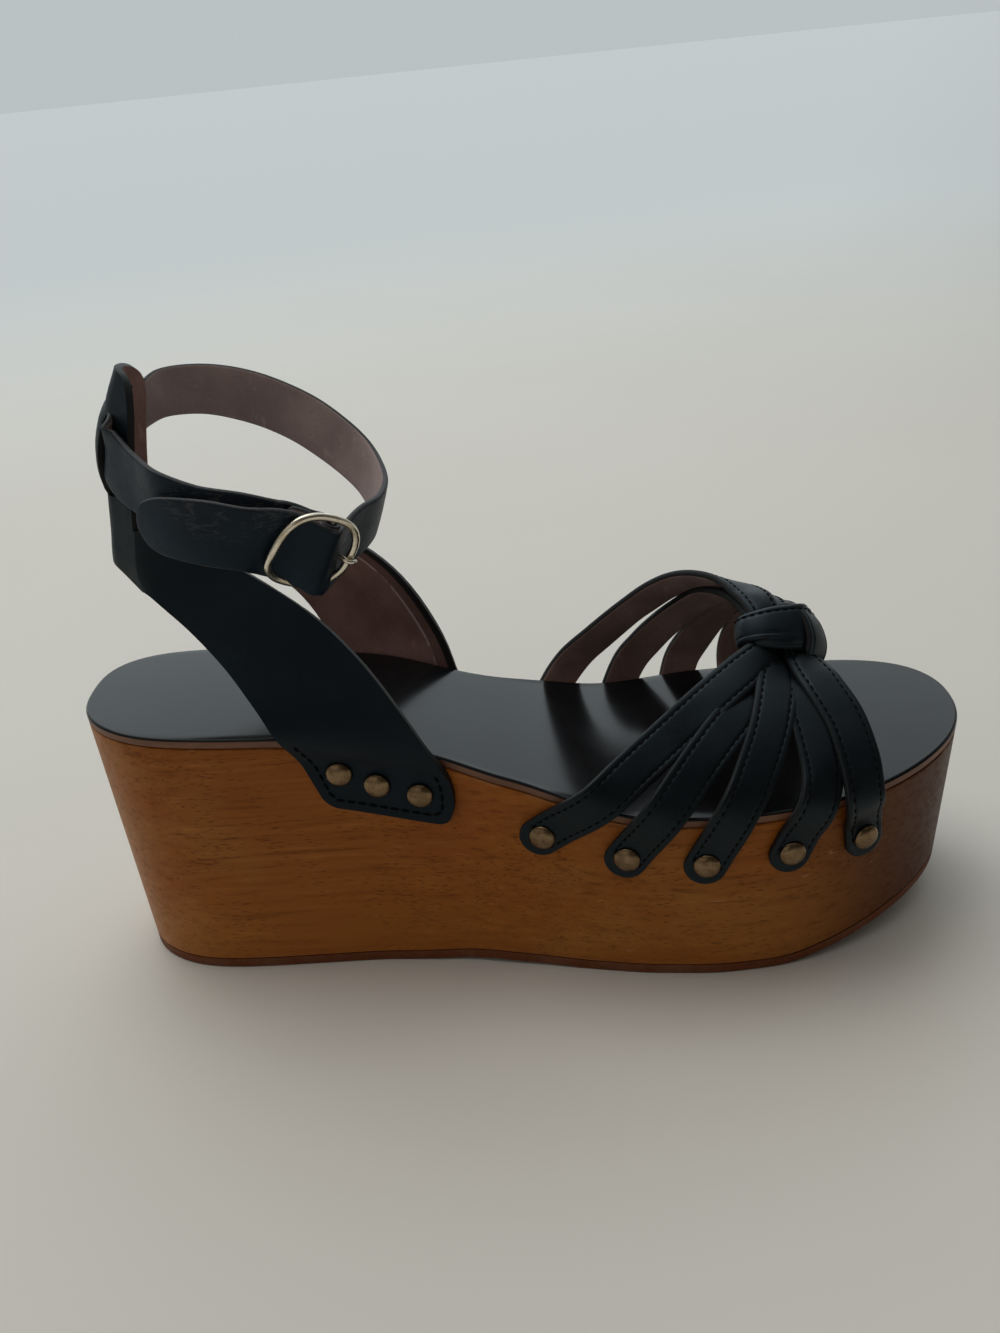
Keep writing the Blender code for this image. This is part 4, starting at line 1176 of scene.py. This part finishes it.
sling = {
    "leather": 2.2,
    "proud": 1.2,
    # rows from the front edge to the heel, each as its low and its high end: on the wall, then free
    "outerWall": (
        ((70.5, 55.6), (103.6, 48.4)), ((67.6, 63.5), (105.8, 55.6)), ((64.6, 71.5), (105.0, 63.2)),
    ),
    "outer": (
        ((60.2, -32.6, 80.2), (100.6, -34.6, 72.6)), ((55.4, -29.4, 87.6), (94.4, -33.0, 84.6)),
        ((48.4, -22.6, 95.6), (85.8, -28.6, 97.4)), ((39.6, -14.4, 102.6), (74.6, -21.6, 108.0)),
        ((31.8, -7.8, 107.6), (60.2, -12.4, 115.8)), ((27.4, -4.6, 110.8), (46.0, -6.2, 122.4)),
    ),
    "inner": (
        ((26.0, 21.4, 111.4), (44.0, 25.0, 122.6)), ((32.0, 25.6, 110.2), (58.6, 29.8, 117.6)),
        ((41.8, 30.0, 107.8), (72.6, 32.0, 112.6)), ((51.4, 32.4, 102.8), (83.4, 31.4, 106.4)),
        ((59.8, 32.6, 94.6), (93.4, 29.6, 95.4)), ((66.0, 31.6, 83.0), (101.6, 28.4, 79.2)),
    ),
    "innerWall": (
        ((67.8, 71.8), (105.6, 66.0)), ((71.6, 64.0), (107.6, 58.0)), ((75.0, 56.4), (106.8, 49.6)),
    ),
    "levels": 12,
    "span": 9.0,          # number of the row where the tab starts
    "footCorner": 3.4,    # radius of the lower corners
    "footSpan": 8.2,      # distance between the first two rows
    "footHeight": 34.0,   # length of the first row
    # how the band bends round the heel: its back line, as height and x, then the bend in plan
    "heelLine": (
        (107.0, 16.6), (118.0, 15.2), (128.0, 16.6), (141.0, 18.4), (153.0, 20.5), (162.0, 22.6),
        (172.0, 27.4),
    ),
    "centreY": 8.5,
    "bend": 6.0,
    "turnOuter": 49.0,
    "turnInner": 40.0,
    # stitch lines near the feet, as row and share of the way up
    "seams": {
        "outer": ((2.6, 0.085), (0.62, 0.085), (0.38, 0.12), (0.36, 0.86), (0.55, 0.915), (2.2, 0.92)),
        "inner": ((6.6, 0.085), (8.38, 0.085), (8.62, 0.12), (8.64, 0.86), (8.45, 0.915), (6.8, 0.92)),
    },
    "pitch": 3.0,
    "stitch": (2.6, 0.95, 0.85),
}
tab = {
    "outerHalf": 14.0,
    "innerHalf": 12.6,
    "margin": 0.7,               # between the tab and the sling's last free row
    "top": 172.2,
    "shoulder": 130.0,
    "footMiddle": 119.6,
    "footSide": 112.4,
    "slitInside": 3.9,           # distances from the back line
    "slitOutside": 7.0,
    "slitOuter": (138.4, 160.0),     # heights
    "slitInner": (147.0, 166.0),
    "bulge": 2.5,                # the leather between the slits arches over the strap
}


def heelPoint(along, height, out=0.0):
    # a place at a distance round from the back line
    reach = abs(along)
    turn = math.radians(sling["turnOuter" if along < 0.0 else "turnInner"])
    bend = min(reach / sling["bend"], turn)
    straight = max(reach - sling["bend"] * turn, 0.0)
    radius = sling["bend"] + out
    forward = sling["bend"] - radius * math.cos(bend) + straight * math.sin(turn)
    sideways = radius * math.sin(bend) + straight * math.cos(turn)
    y = sling["centreY"] + math.copysign(sideways, along)
    return Vector((smoothValue(sling["heelLine"], height) + forward, y, height))


def tabHalf(along):
    return tab["outerHalf"] if along < 0.0 else tab["innerHalf"]


def tabFoot(along):
    share = min(abs(along) / tab["outerHalf"], 1.0) ** 1.5
    return tab["footMiddle"] + (tab["footSide"] - tab["footMiddle"]) * share


def slitSpan(along):
    # the slits sit a little lower on the outer side
    share = ease((along + 5.0) / 10.0)
    return [a + (b - a) * share for a, b in zip(tab["slitOuter"], tab["slitInner"])]


def tabCrown(along):
    half = tabHalf(along)
    return tab["top"] - half + math.sqrt(max(half**2 - min(abs(along), half) ** 2, 0.0))


levelRow = [k / sling["levels"] for k in range(sling["levels"] + 1)]


def bandRow(along):
    foot, levels = tabFoot(along), sling["levels"]
    return [heelPoint(along, foot + (tab["shoulder"] - foot) * k / levels) for k in range(levels + 1)]


def wallRows(rows, side):
    found = []
    for (x0, z0), (x1, z1) in rows:
        places = [(x0 + (x1 - x0) * u, z0 + (z1 - z0) * u) for u in levelRow]
        found.append([wallPoint(x, z, side, sling["proud"])[0] for x, z in places])
    return found


def freeRows(rows):
    return [[Vector(low).lerp(Vector(high), u) for u in levelRow] for low, high in rows]


outerRows = [*wallRows(sling["outerWall"], -1), *freeRows(sling["outer"])]
outerRows.append(bandRow(-tab["outerHalf"] - tab["margin"]))
innerRows = [bandRow(tab["innerHalf"] + tab["margin"])]
innerRows += [*freeRows(sling["inner"]), *wallRows(sling["innerWall"], 1)]


def rowPoint(rows, r, u):
    # point of the sling at a place between its rows and a share of the way up
    level = min(max(u, 0.0), 1.0) * sling["levels"]
    low = min(int(level), sling["levels"] - 1)
    r = min(max(r, 0.0), len(rows) - 1.0)
    index = min(int(r), len(rows) - 2)
    found = []
    for k in (low, low + 1):
        b, c = rows[index][k], rows[index + 1][k]
        a = rows[index - 1][k] if index else b * 2 - c
        d = rows[index + 2][k] if index + 2 < len(rows) else c * 2 - b
        found.append(between(a, b, c, d, r - index))
    return found[0].lerp(found[1], level - low)


# columns run from the outer front edge over the tab to the inner one, closest at both ends
tipShares = [0.0, 0.02, 0.06, 0.12, 0.20, 0.30, 0.42]
steady = [0.42 + (sling["span"] - 0.42) * k / 34 for k in range(1, 35)]
outerShares = [*tipShares, *steady]
innerShares = [sling["span"] - share for share in reversed(outerShares)]
tabStops = [0.0, 1.3, 2.6, 3.9, 4.9, 5.9, 7.0, 8.4, 9.8]
tabColumns = [-14.0, -13.9, -13.5, -12.8, -11.6] + [-stop for stop in reversed(tabStops[1:])] + tabStops
tabColumns += [10.9, 11.7, 12.2, 12.5, 12.6]
columnKinds = [
    *[("outer", share) for share in outerShares],
    *[("tab", along) for along in tabColumns],
    *[("inner", share) for share in innerShares],
]
edgeShares = [0.0, 0.012, 0.03, 0.06, 0.10]
levelShares = [*edgeShares, *[0.10 + 0.80 * k / 14 for k in range(1, 14)]]
levelShares += [1.0 - share for share in reversed(edgeShares)]
lowRows, slitRowCount = 4, 10
tabLevels = [("low", k / lowRows) for k in range(1, lowRows + 1)]
tabLevels += [("slit", k / slitRowCount) for k in range(1, slitRowCount + 1)]
tabLevels += [("top", share) for share in (0.25, 0.5, 0.72, 0.88, 0.96, 1.0)]


def slingPoint(kind, value, u):
    if kind == "tab":
        foot = tabFoot(value)
        return heelPoint(value, foot + (tab["shoulder"] - foot) * u)
    rows = outerRows if kind == "outer" else innerRows
    tip = (value if kind == "outer" else sling["span"] - value) * sling["footSpan"]
    corner = sling["footCorner"]
    if tip < corner:
        lost = (corner - math.sqrt(corner**2 - (corner - tip) ** 2)) / sling["footHeight"]
        u = lost + (1.0 - 2.0 * lost) * u
    return rowPoint(rows, value, u)


def slingPlace(column, row):
    # the sling up to the tab's shoulders, then the tab alone
    kind, value = columnKinds[column]
    if row < len(levelShares):
        return slingPoint(kind, value, levelShares[row])
    if kind != "tab":
        return slingPoint(kind, value, 1.0)
    part, share = tabLevels[row - len(levelShares)]
    crown = tabCrown(value)
    slitLow, slitHigh = slitSpan(value)
    high = min(slitHigh, crown - 3.0)
    if part == "low":
        height = tab["shoulder"] + (slitLow - tab["shoulder"]) * share
    elif part == "slit":
        height = slitLow + (high - slitLow) * share
    else:
        height = high + (crown - high) * share
    middle, half = (slitLow + slitHigh) / 2.0, (slitHigh - slitLow) / 2.0
    rise = max(1.0 - ((height - middle) / half) ** 2, 0.0) ** 0.8
    inside = abs(value) <= tab["slitInside"] + 0.01
    return heelPoint(value, height, tab["bulge"] * rise if inside else 0.0)


firstTab = len(outerShares)
lastTab = firstTab + len(tabColumns) - 1
shoulderRow = len(levelShares) - 1
slitRows = range(shoulderRow + lowRows, shoulderRow + lowRows + slitRowCount)
cutAway = 3


def slingPart(column, row):
    # beside the tab, and the two slits, are cut away
    inTab = firstTab <= column < lastTab
    if row >= shoulderRow and not inTab:
        return cutAway
    if inTab and row in slitRows:
        middle = abs(tabColumns[column - firstTab] + tabColumns[column - firstTab + 1]) / 2.0
        if tab["slitInside"] < middle < tab["slitOutside"]:
            return cutAway
    return 0


rows = shoulderRow + len(tabLevels)
slingPiece, cells = layGrid("heelSling", len(columnKinds) - 1, rows, slingPlace, slingPart)
fronts = []
for column, row in cells:
    below = row < len(levelShares) and columnKinds[column][0] != "tab"
    fronts.append(levelShares[row] if below else 0.0)
keep(slingPiece, "rim", [2.0] * len(cells))
keep(slingPiece, "front", fronts)
pick(slingPiece)
bpy.ops.object.mode_set(mode="EDIT")
bpy.ops.mesh.select_all(action="DESELECT")
bpy.ops.mesh.select_mode(type="FACE")
bpy.ops.object.mode_set(mode="OBJECT")
for face in slingPiece.data.polygons:
    face.select = face.material_index == cutAway
bpy.ops.object.mode_set(mode="EDIT")
bpy.ops.mesh.delete(type="FACE")
editAll(
    slingPiece,
    (bpy.ops.mesh.remove_doubles, {"threshold": 0.004 * mm}),
    (bpy.ops.mesh.normals_make_consistent, {"inside": False}),
)
outward = 0
for face in slingPiece.data.polygons:
    heart = toFrame((55.0, 5.0, face.center.z / mm))
    outward += 1 if face.normal.dot(face.center - heart) > 0 else -1
if outward < 0:
    editAll(slingPiece, (bpy.ops.mesh.flip_normals, {}))


def applyModifier(thing, kind, **settings):
    pick(thing)
    modifier = thing.modifiers.new(kind.lower(), kind)
    for key, value in settings.items():
        setattr(modifier, key, value)
    bpy.ops.object.modifier_apply(modifier=modifier.name)


dress(slingPiece, slingLeather, slingLining, blackEdge)
applyModifier(
    slingPiece, "SOLIDIFY", thickness=sling["leather"] * mm, offset=0.0, use_even_offset=True,
    material_offset=1, material_offset_rim=2,
)
applyModifier(
    slingPiece, "BEVEL", width=0.55 * mm, segments=3, limit_method="ANGLE", angle_limit=math.radians(55),
)
pick(slingPiece)
bpy.ops.object.shade_smooth()
hand(slingPiece, "upper_leather", "quarter")


def slingFace(kind, r, u, lift):
    # a place a little off the sling's face, and the way out
    here = slingPoint(kind, r, u)
    back = slingPoint(kind, max(r - 0.04, 0.0), u)
    ahead = slingPoint(kind, min(r + 0.04, sling["span"]), u)
    low = slingPoint(kind, r, max(u - 0.02, 0.0))
    high = slingPoint(kind, r, min(u + 0.02, 1.0))
    normal = (ahead - back).cross(high - low).normalized()
    if normal.dot(here - Vector((75.0, 0.0, here.z))) < 0.0:
        normal.negate()
    return here + normal * lift, normal


def slingSeam(kind, corners):
    # stitches along straight runs in the sling's own rows and levels
    dense = []
    for (r0, u0), (r1, u1) in zip(corners, corners[1:]):
        dense += [(r0 + (r1 - r0) * k / 60, u0 + (u1 - u0) * k / 60) for k in range(60)]
    dense.append(corners[-1])
    found = [slingFace(kind, r, u, sling["leather"] / 2.0 + 0.04) for r, u in dense]
    track = Track([point for point, _ in found])
    normals = [normal for _, normal in found]
    places = []
    for k in range(int(track.length / sling["pitch"]) + 1):
        reach = k * sling["pitch"]
        run = (track.at(reach + 0.5) - track.at(reach - 0.5)).normalized()
        places.append((track.at(reach), run, track.at(reach, normals).normalized()))
    return places


footSeams = [place for kind, corners in sling["seams"].items() for place in slingSeam(kind, corners)]
sew("slingStitches", footSeams, stitchThread, "upper_leather", sling["stitch"])
print("sling wrapped")


buckle = {
    "centre": Vector((77.0, -26.0, 127.7)),
    "along": Vector((0.71, 0.53, -0.45)).normalized(),
    "out": Vector((0.34, -0.86, -0.36)),
    "halfLength": 10.6,
    "halfWidth": 11.4,
    "roundness": 0.78,
    "lean": 0.24,             # one end of the hoop lies closer to the foot
    "wire": 1.05,
    "barWire": 0.85,
    "prongWire": (0.95, 0.60),
    "barForward": 3.4,
    "strapShift": -1.1,
    "strapSkew": 0.25,
    "strapHalf": 10.3,
    # the strap's fold round the bar, and its other end passing through: along and outward
    "fold": (
        (-11.0, -5.0), (-4.4, -4.9), (-0.2, -3.6), (1.5, -1.9), (3.2, -0.95), (5.0, -1.6), (5.65, -3.2),
        (5.0, -4.8), (3.4, -5.45), (-1.0, -5.9), (-5.0, -6.7), (-11.0, -7.3),
    ),
    "pass": ((9.0, -2.9), (6.9, -0.9), (3.6, 1.15), (0.2, 0.0), (-4.4, -2.3), (-11.0, -3.0)),
    "prong": (
        (5.4, 0.0, -2.8), (6.8, 0.2, -2.2), (8.2, 0.5, -0.6), (9.4, 0.8, 1.3), (10.6, 1.1, 1.9),
        (11.5, 1.3, 1.6),
    ),
}
buckle["out"] = (buckle["out"] - buckle["along"] * buckle["out"].dot(buckle["along"])).normalized()
buckle["across"] = buckle["out"].cross(buckle["along"])


def bucklePoint(along, across, outward):
    middle = buckle["centre"] + buckle["along"] * along + buckle["across"] * across
    return middle + buckle["out"] * outward


def drawWire(name, points, radii, up, sides=14, closed=False, flat=1.0):
    # round wire swept along points, with round ends or joined to itself
    count, endRows = len(points), 4
    rings = count if closed else count + 2 * endRows
    start, end = radii
    directions = []
    for k in range(count):
        behind, ahead = (points[k - 1], points[(k + 1) % count]) if closed else beside(points, k)
        directions.append((ahead - behind).normalized())

    def place(column, row):
        angle = 2.0 * math.pi * column / sides
        if closed:
            index, shrink, push = row % count, 1.0, 0.0
        else:
            index = min(max(row - endRows, 0), count - 1)
            turn = math.pi / 2 * abs(row - endRows - index) / endRows
            shrink = math.cos(turn)
            push = math.sin(turn) * (-1.0 if row < endRows else 1.0)
        radius = start + (end - start) * index / (count - 1)
        along = directions[index]
        aside = up.cross(along).normalized()
        out = along.cross(aside).normalized()
        sideways = aside * math.cos(angle) * radius * shrink
        upward = out * math.sin(angle) * radius * shrink * flat
        return points[index] + (sideways + upward) + along * push * radius

    thing, _ = layGrid(name, sides, rings if closed else rings - 1, place)
    return weld(thing)


def metalPart(wire, node):
    dress(wire, brass)
    hand(wire, "buckle_metal", node)


brass = paleBrass()
ring = []
for step in range(96):
    angle = 2.0 * math.pi * step / 96
    length = buckle["halfLength"] * boxy(math.cos(angle), buckle["roundness"])
    width = buckle["halfWidth"] * boxy(math.sin(angle), buckle["roundness"])
    ring.append(bucklePoint(length, width, buckle["lean"] * min(width + 3.0, 0.0)))
wires = (buckle["wire"], buckle["wire"])
metalPart(drawWire("buckleHoop", ring, wires, buckle["out"], 18, True, 0.9), "buckle_frame")

inner = buckle["halfWidth"] - buckle["wire"]
barPlan = (
    (-inner - 0.1, 2.2), (-inner + 0.2, 2.5), (-inner + 0.8, 2.9), (-inner + 2.0, 3.2), (0.0, 3.2),
    (inner - 2.0, 3.2), (inner - 0.8, 2.6), (inner - 0.2, 1.4), (inner + 0.1, 0.4),
)
barLine = []
for across, depth in barPlan:
    barLine.append(bucklePoint(buckle["barForward"] - buckle["strapSkew"] * across, across, -depth))
wires = (buckle["barWire"], buckle["barWire"])
metalPart(drawWire("buckleBar", smoothPath(barLine, 5), wires, buckle["along"]), "buckle_frame")

prongLine = smoothPath([bucklePoint(*spot) for spot in buckle["prong"]], 6)
prong = drawWire("bucklePin", prongLine, buckle["prongWire"], buckle["out"], flat=0.9)
metalPart(prong, "buckle_prong")
print("buckle bent")


# the strap's low and high edge, from the buckle round the heel and back to it, then the loose tip
ankleRows = (
    ((58.4, -26.6, 130.4), (62.6, -28.2, 146.0)), ((48.4, -24.2, 132.4), (50.6, -25.2, 148.0)),
    ((39.0, -19.8, 135.0), (39.8, -20.2, 151.2)), ((30.8, -10.6, 136.8), (32.8, -11.0, 153.2)),
    ((25.6, -5.2, 138.6), (28.4, -5.2, 155.0)), ((22.6, -1.6, 141.0), (25.5, -1.6, 157.2)),
    ((21.1, 0.6, 142.8), (24.1, 0.6, 158.8)), ((20.4, 2.4, 144.2), (23.5, 2.4, 160.2)),
    ((20.6, 4.3, 146.1), (23.8, 4.3, 161.4)), ((20.2, 5.7, 146.8), (23.5, 5.7, 161.9)),
    ((19.8, 8.5, 147.6), (23.0, 8.5, 162.3)), ((20.4, 11.3, 148.4), (23.7, 11.3, 162.7)),
    ((20.9, 12.7, 149.0), (24.1, 12.7, 163.0)), ((21.2, 15.5, 149.8), (24.3, 15.5, 163.4)),
    ((21.6, 17.3, 150.4), (24.8, 17.3, 163.8)), ((23.7, 19.2, 151.2), (26.8, 19.2, 164.4)),
    ((26.4, 21.9, 152.0), (29.4, 21.9, 165.2)), ((32.6, 29.4, 152.8), (32.6, 29.4, 166.6)),
    ((43.0, 35.6, 150.8), (43.0, 35.8, 165.2)), ((55.0, 38.6, 146.0), (55.0, 39.2, 161.0)),
    ((66.7, 37.2, 139.8), (67.4, 38.6, 154.8)), ((76.0, 33.2, 133.0), (78.0, 35.4, 147.6)),
    ((83.0, 27.0, 127.2), (86.4, 29.0, 141.2)), ((87.0, 18.0, 123.2), (91.2, 19.4, 137.4)),
    ((88.4, 8.0, 121.0), (93.4, 9.0, 135.2)), ((87.2, -2.0, 120.0), (92.8, -1.6, 134.4)),
    ((83.6, -11.0, 119.4), (89.0, -11.6, 134.6)),
)
ankleTip = (
    ((60.0, -31.2, 126.6), (63.6, -32.6, 143.6)), ((52.0, -30.2, 128.0), (54.0, -31.0, 145.6)),
    ((43.4, -26.6, 129.2), (44.0, -27.0, 146.0)), ((38.2, -23.2, 130.0), (38.4, -23.4, 145.0)),
    ((34.4, -20.2, 131.8), (34.5, -20.4, 142.8)), ((32.4, -18.6, 134.6), (32.4, -18.6, 139.8)),
)


def strapInBuckle(places):
    # low and high edge of the strap where it lies in the buckle
    width = (buckle["across"] - buckle["along"] * buckle["strapSkew"]).normalized() * buckle["strapHalf"]
    middles = [bucklePoint(forward, buckle["strapShift"], outward) for forward, outward in places]
    return [(middle - width, middle + width) for middle in middles]


ankle = [*strapInBuckle(buckle["fold"]), *[(Vector(low), Vector(high)) for low, high in ankleRows]]
ankle += [*strapInBuckle(buckle["pass"]), *[(Vector(low), Vector(high)) for low, high in ankleTip]]
lows = smoothPath([low for low, _ in ankle], 8)
highs = smoothPath([high for _, high in ankle], 8)
middles = [(low + high) / 2.0 for low, high in zip(lows, highs)]
halves = [(high - low).length / 2.0 for low, high in zip(lows, highs)]
faces = []
for k, (low, high) in enumerate(zip(lows, highs)):
    before, after = beside(middles, k)
    faces.append((after - before).cross(high - low).normalized() * -1.0)
ankleBand = Band(middles, faces, halves, {
    "half": 7.6, "above": 0.85, "below": 0.75, "rim": 0.6, "crown": 0.22, "tipRadius": 2.6,
    "sinkInset": 1.6, "sinkDepth": 0.0, "step": 0.9, "ripple": (0.20, 0.09, 0.13, 0.0, 11.0),
})
anklePiece = ankleBand.mesh("ankleBand")
dress(anklePiece, ankleLeather, ankleEdge, ankleLining)
hand(anklePiece, "strap_leather", "ankle_strap")
print("ankle strap buckled", round(ankleBand.track.length, 1))


nail = {
    "outer": ((75.2, 66.0), (85.2, 62.0), (96.6, 58.6)),
    "inner": ((80.0, 66.6), (90.0, 62.8), (101.4, 59.4)),
    "radius": 3.7,
    "dome": 1.75,
    "rim": 0.12,       # height of the head's upright edge
    "shank": 1.1,
    "depth": 9.0,
    "seat": 2.30,      # the heads lie on the leather, this far off the wood
    "sides": 32,
    "domeSteps": 10,
}


def nailSeed():
    # shank, flat underside, then the dome in shrinking steps
    clearSelection()
    bpy.ops.mesh.primitive_circle_add(vertices=nail["sides"], radius=nail["shank"] * mm, fill_type="NGON")
    seed = bpy.context.object
    bpy.ops.object.mode_set(mode="EDIT")
    bpy.ops.mesh.select_all(action="SELECT")
    bpy.ops.transform.translate(value=(0.0, 0.0, -nail["depth"] * mm))
    rim = nail["rim"]
    steps = [(nail["shank"], 0.0), (nail["radius"] * 0.98, 0.0), (nail["radius"], rim)]
    for k in range(1, nail["domeSteps"]):
        turn = math.pi / 2 * k / nail["domeSteps"]
        steps.append((nail["radius"] * math.cos(turn), rim + (nail["dome"] - rim) * math.sin(turn)))
    radius, height = nail["shank"], -nail["depth"]
    for nextRadius, nextHeight in steps:
        rise = {"value": (0.0, 0.0, (nextHeight - height) * mm)}
        bpy.ops.mesh.extrude_region_move(TRANSFORM_OT_translate=rise)
        share = nextRadius / radius
        bpy.ops.transform.resize(value=(share, share, 1.0))
        radius, height = nextRadius, nextHeight
    bpy.ops.mesh.extrude_region_move(TRANSFORM_OT_translate={"value": (0.0, 0.0, 0.02 * mm)})
    bpy.ops.mesh.merge(type="CENTER")
    bpy.ops.mesh.select_all(action="SELECT")
    bpy.ops.mesh.normals_make_consistent(inside=False)
    bpy.ops.object.mode_set(mode="OBJECT")
    bpy.ops.object.shade_smooth()
    return seed


nailFinish = antiqueBrass()
seed = nailSeed()
groups = (
    ("vampNailOuter", "rivet_vamp_outer", vamp["rivets"], -1),
    ("vampNailInner", "rivet_vamp_inner", vamp["rivets"], 1),
    ("slingNailOuter", "rivet_sling_outer", nail["outer"], -1),
    ("slingNailInner", "rivet_sling_inner", nail["inner"], 1),
)
for label, node, places, side in groups:
    for number, (x, height) in enumerate(places, 1):
        point, normal = wallPoint(x, height, side, nail["seat"])
        head = link(bpy.data.objects.new(f"{label}{number}", seed.data.copy()))
        # no two sit quite alike
        tilt = Vector((0.012 * math.sin(number * 2.3), 0.0, 0.010 * math.cos(number * 1.7)))
        place = (normal + tilt).normalized().to_track_quat("Z", "Y").to_matrix().to_4x4()
        place.translation = toFrame(point)
        rise = [min(max(vertex.co.z / (nail["dome"] * mm), 0.0), 1.0) for vertex in head.data.vertices]
        head.data.transform(place)
        keep(head, "rim", rise)
        dress(head, nailFinish)
        hand(head, "nail_metal", f"{node}_{number}")
bpy.data.objects.remove(seed)
print("nails driven")


view = {
    "place": (0.01263, -0.33220, 0.23790),     # metres
    "turn": (64.51, 5.36, 0.51),               # degrees
    "lens": 34.97,
    "sensor": 36.0,
}
room = {
    "strength": 0.95,
    "stops": ((0.30, (0.060, 0.054, 0.048)), (0.92, (0.520, 0.565, 0.570))),   # dim side to window side
    "way": Vector((-0.30, 0.954, 0.0)),        # toward the window side
    "aim": Vector((0.0, 0.0, 0.05)),
    # place, size, watts and colour
    "lights": {
        "windowLight": ((-0.4, 1.7, 1.05), (2.8, 1.5), 11.0, (0.84, 0.95, 1.0)),
        "highLight": ((-0.65, 0.45, 1.9), (1.6, 1.6), 12.0, (1.0, 0.98, 0.95)),
        "ceilingLight": ((0.3, 0.0, 2.3), (2.4, 2.4), 7.0, (1.0, 0.98, 0.95)),
        "frontFill": ((-1.6, -2.4, 1.3), (3.0, 2.2), 7.5, (1.0, 0.93, 0.84)),
    },
}
camera = link(bpy.data.objects.new("camera", bpy.data.cameras.new("camera")))
camera.location = view["place"]
camera.rotation_euler = [math.radians(angle) for angle in view["turn"]]
camera.data.lens = view["lens"]
camera.data.sensor_width = view["sensor"]
bpy.context.scene.camera = camera


def roomGlow(sheet, facing):
    # the room's light in one direction; facing runs from -1 to 1 toward the window side
    return sheet.node("ShaderNodeValToRGB", {"stops": room["stops"]}, {"Fac": facing * 0.5 + 0.5}, "Color")


# the floor fades into the room's own light far from the shoe, so that no edge shows
clearSelection()
bpy.ops.mesh.primitive_circle_add(vertices=96, radius=30.0, fill_type="TRIFAN")
floor = bpy.context.object
floor.name = "floor"
paper = Finish("palePaper")
tone = paper.mix(paper.step(paper.cloud(3.0, 3.0), 0.3, 0.7), (0.765, 0.735, 0.672), (0.785, 0.755, 0.695))
flat = paper.vector("LENGTH", paper.place)
away = paper.step(flat, 0.45, 1.9)
glow = roomGlow(paper, paper.vector("DOT_PRODUCT", paper.place, room["way"]) / (flat + 0.001))
dark = (0.0, 0.0, 0.0)
dress(floor, paper.surface(
    Base_Color=paper.mix(away, tone, dark),
    Emission_Color=paper.mix(away, dark, glow),
    Emission_Strength=room["strength"],
    Roughness=0.6,
    Specular_IOR_Level=0.15,
))

for name, (place, size, watts, colour) in room["lights"].items():
    lamp = bpy.data.lights.new(name, "AREA")
    lamp.shape = "RECTANGLE"
    lamp.size, lamp.size_y = size
    lamp.energy = watts
    lamp.color = colour
    thing = link(bpy.data.objects.new(name, lamp))
    thing.location = place
    thing.rotation_euler = (room["aim"] - Vector(place)).to_track_quat("-Z", "Y").to_euler()

world = bpy.data.worlds.new("room")
bpy.context.scene.world = world
world.use_nodes = True
sky = NodeSheet(world.node_tree)
facing = sky.vector("DOT_PRODUCT", sky.node("ShaderNodeTexCoord", output="Generated"), room["way"])
background = world.node_tree.nodes["Background"]
sky.link(roomGlow(sky, facing), background.inputs["Color"])
background.inputs["Strength"].default_value = room["strength"]
bpy.context.scene.view_settings.view_transform = "Standard"
print("room lit")
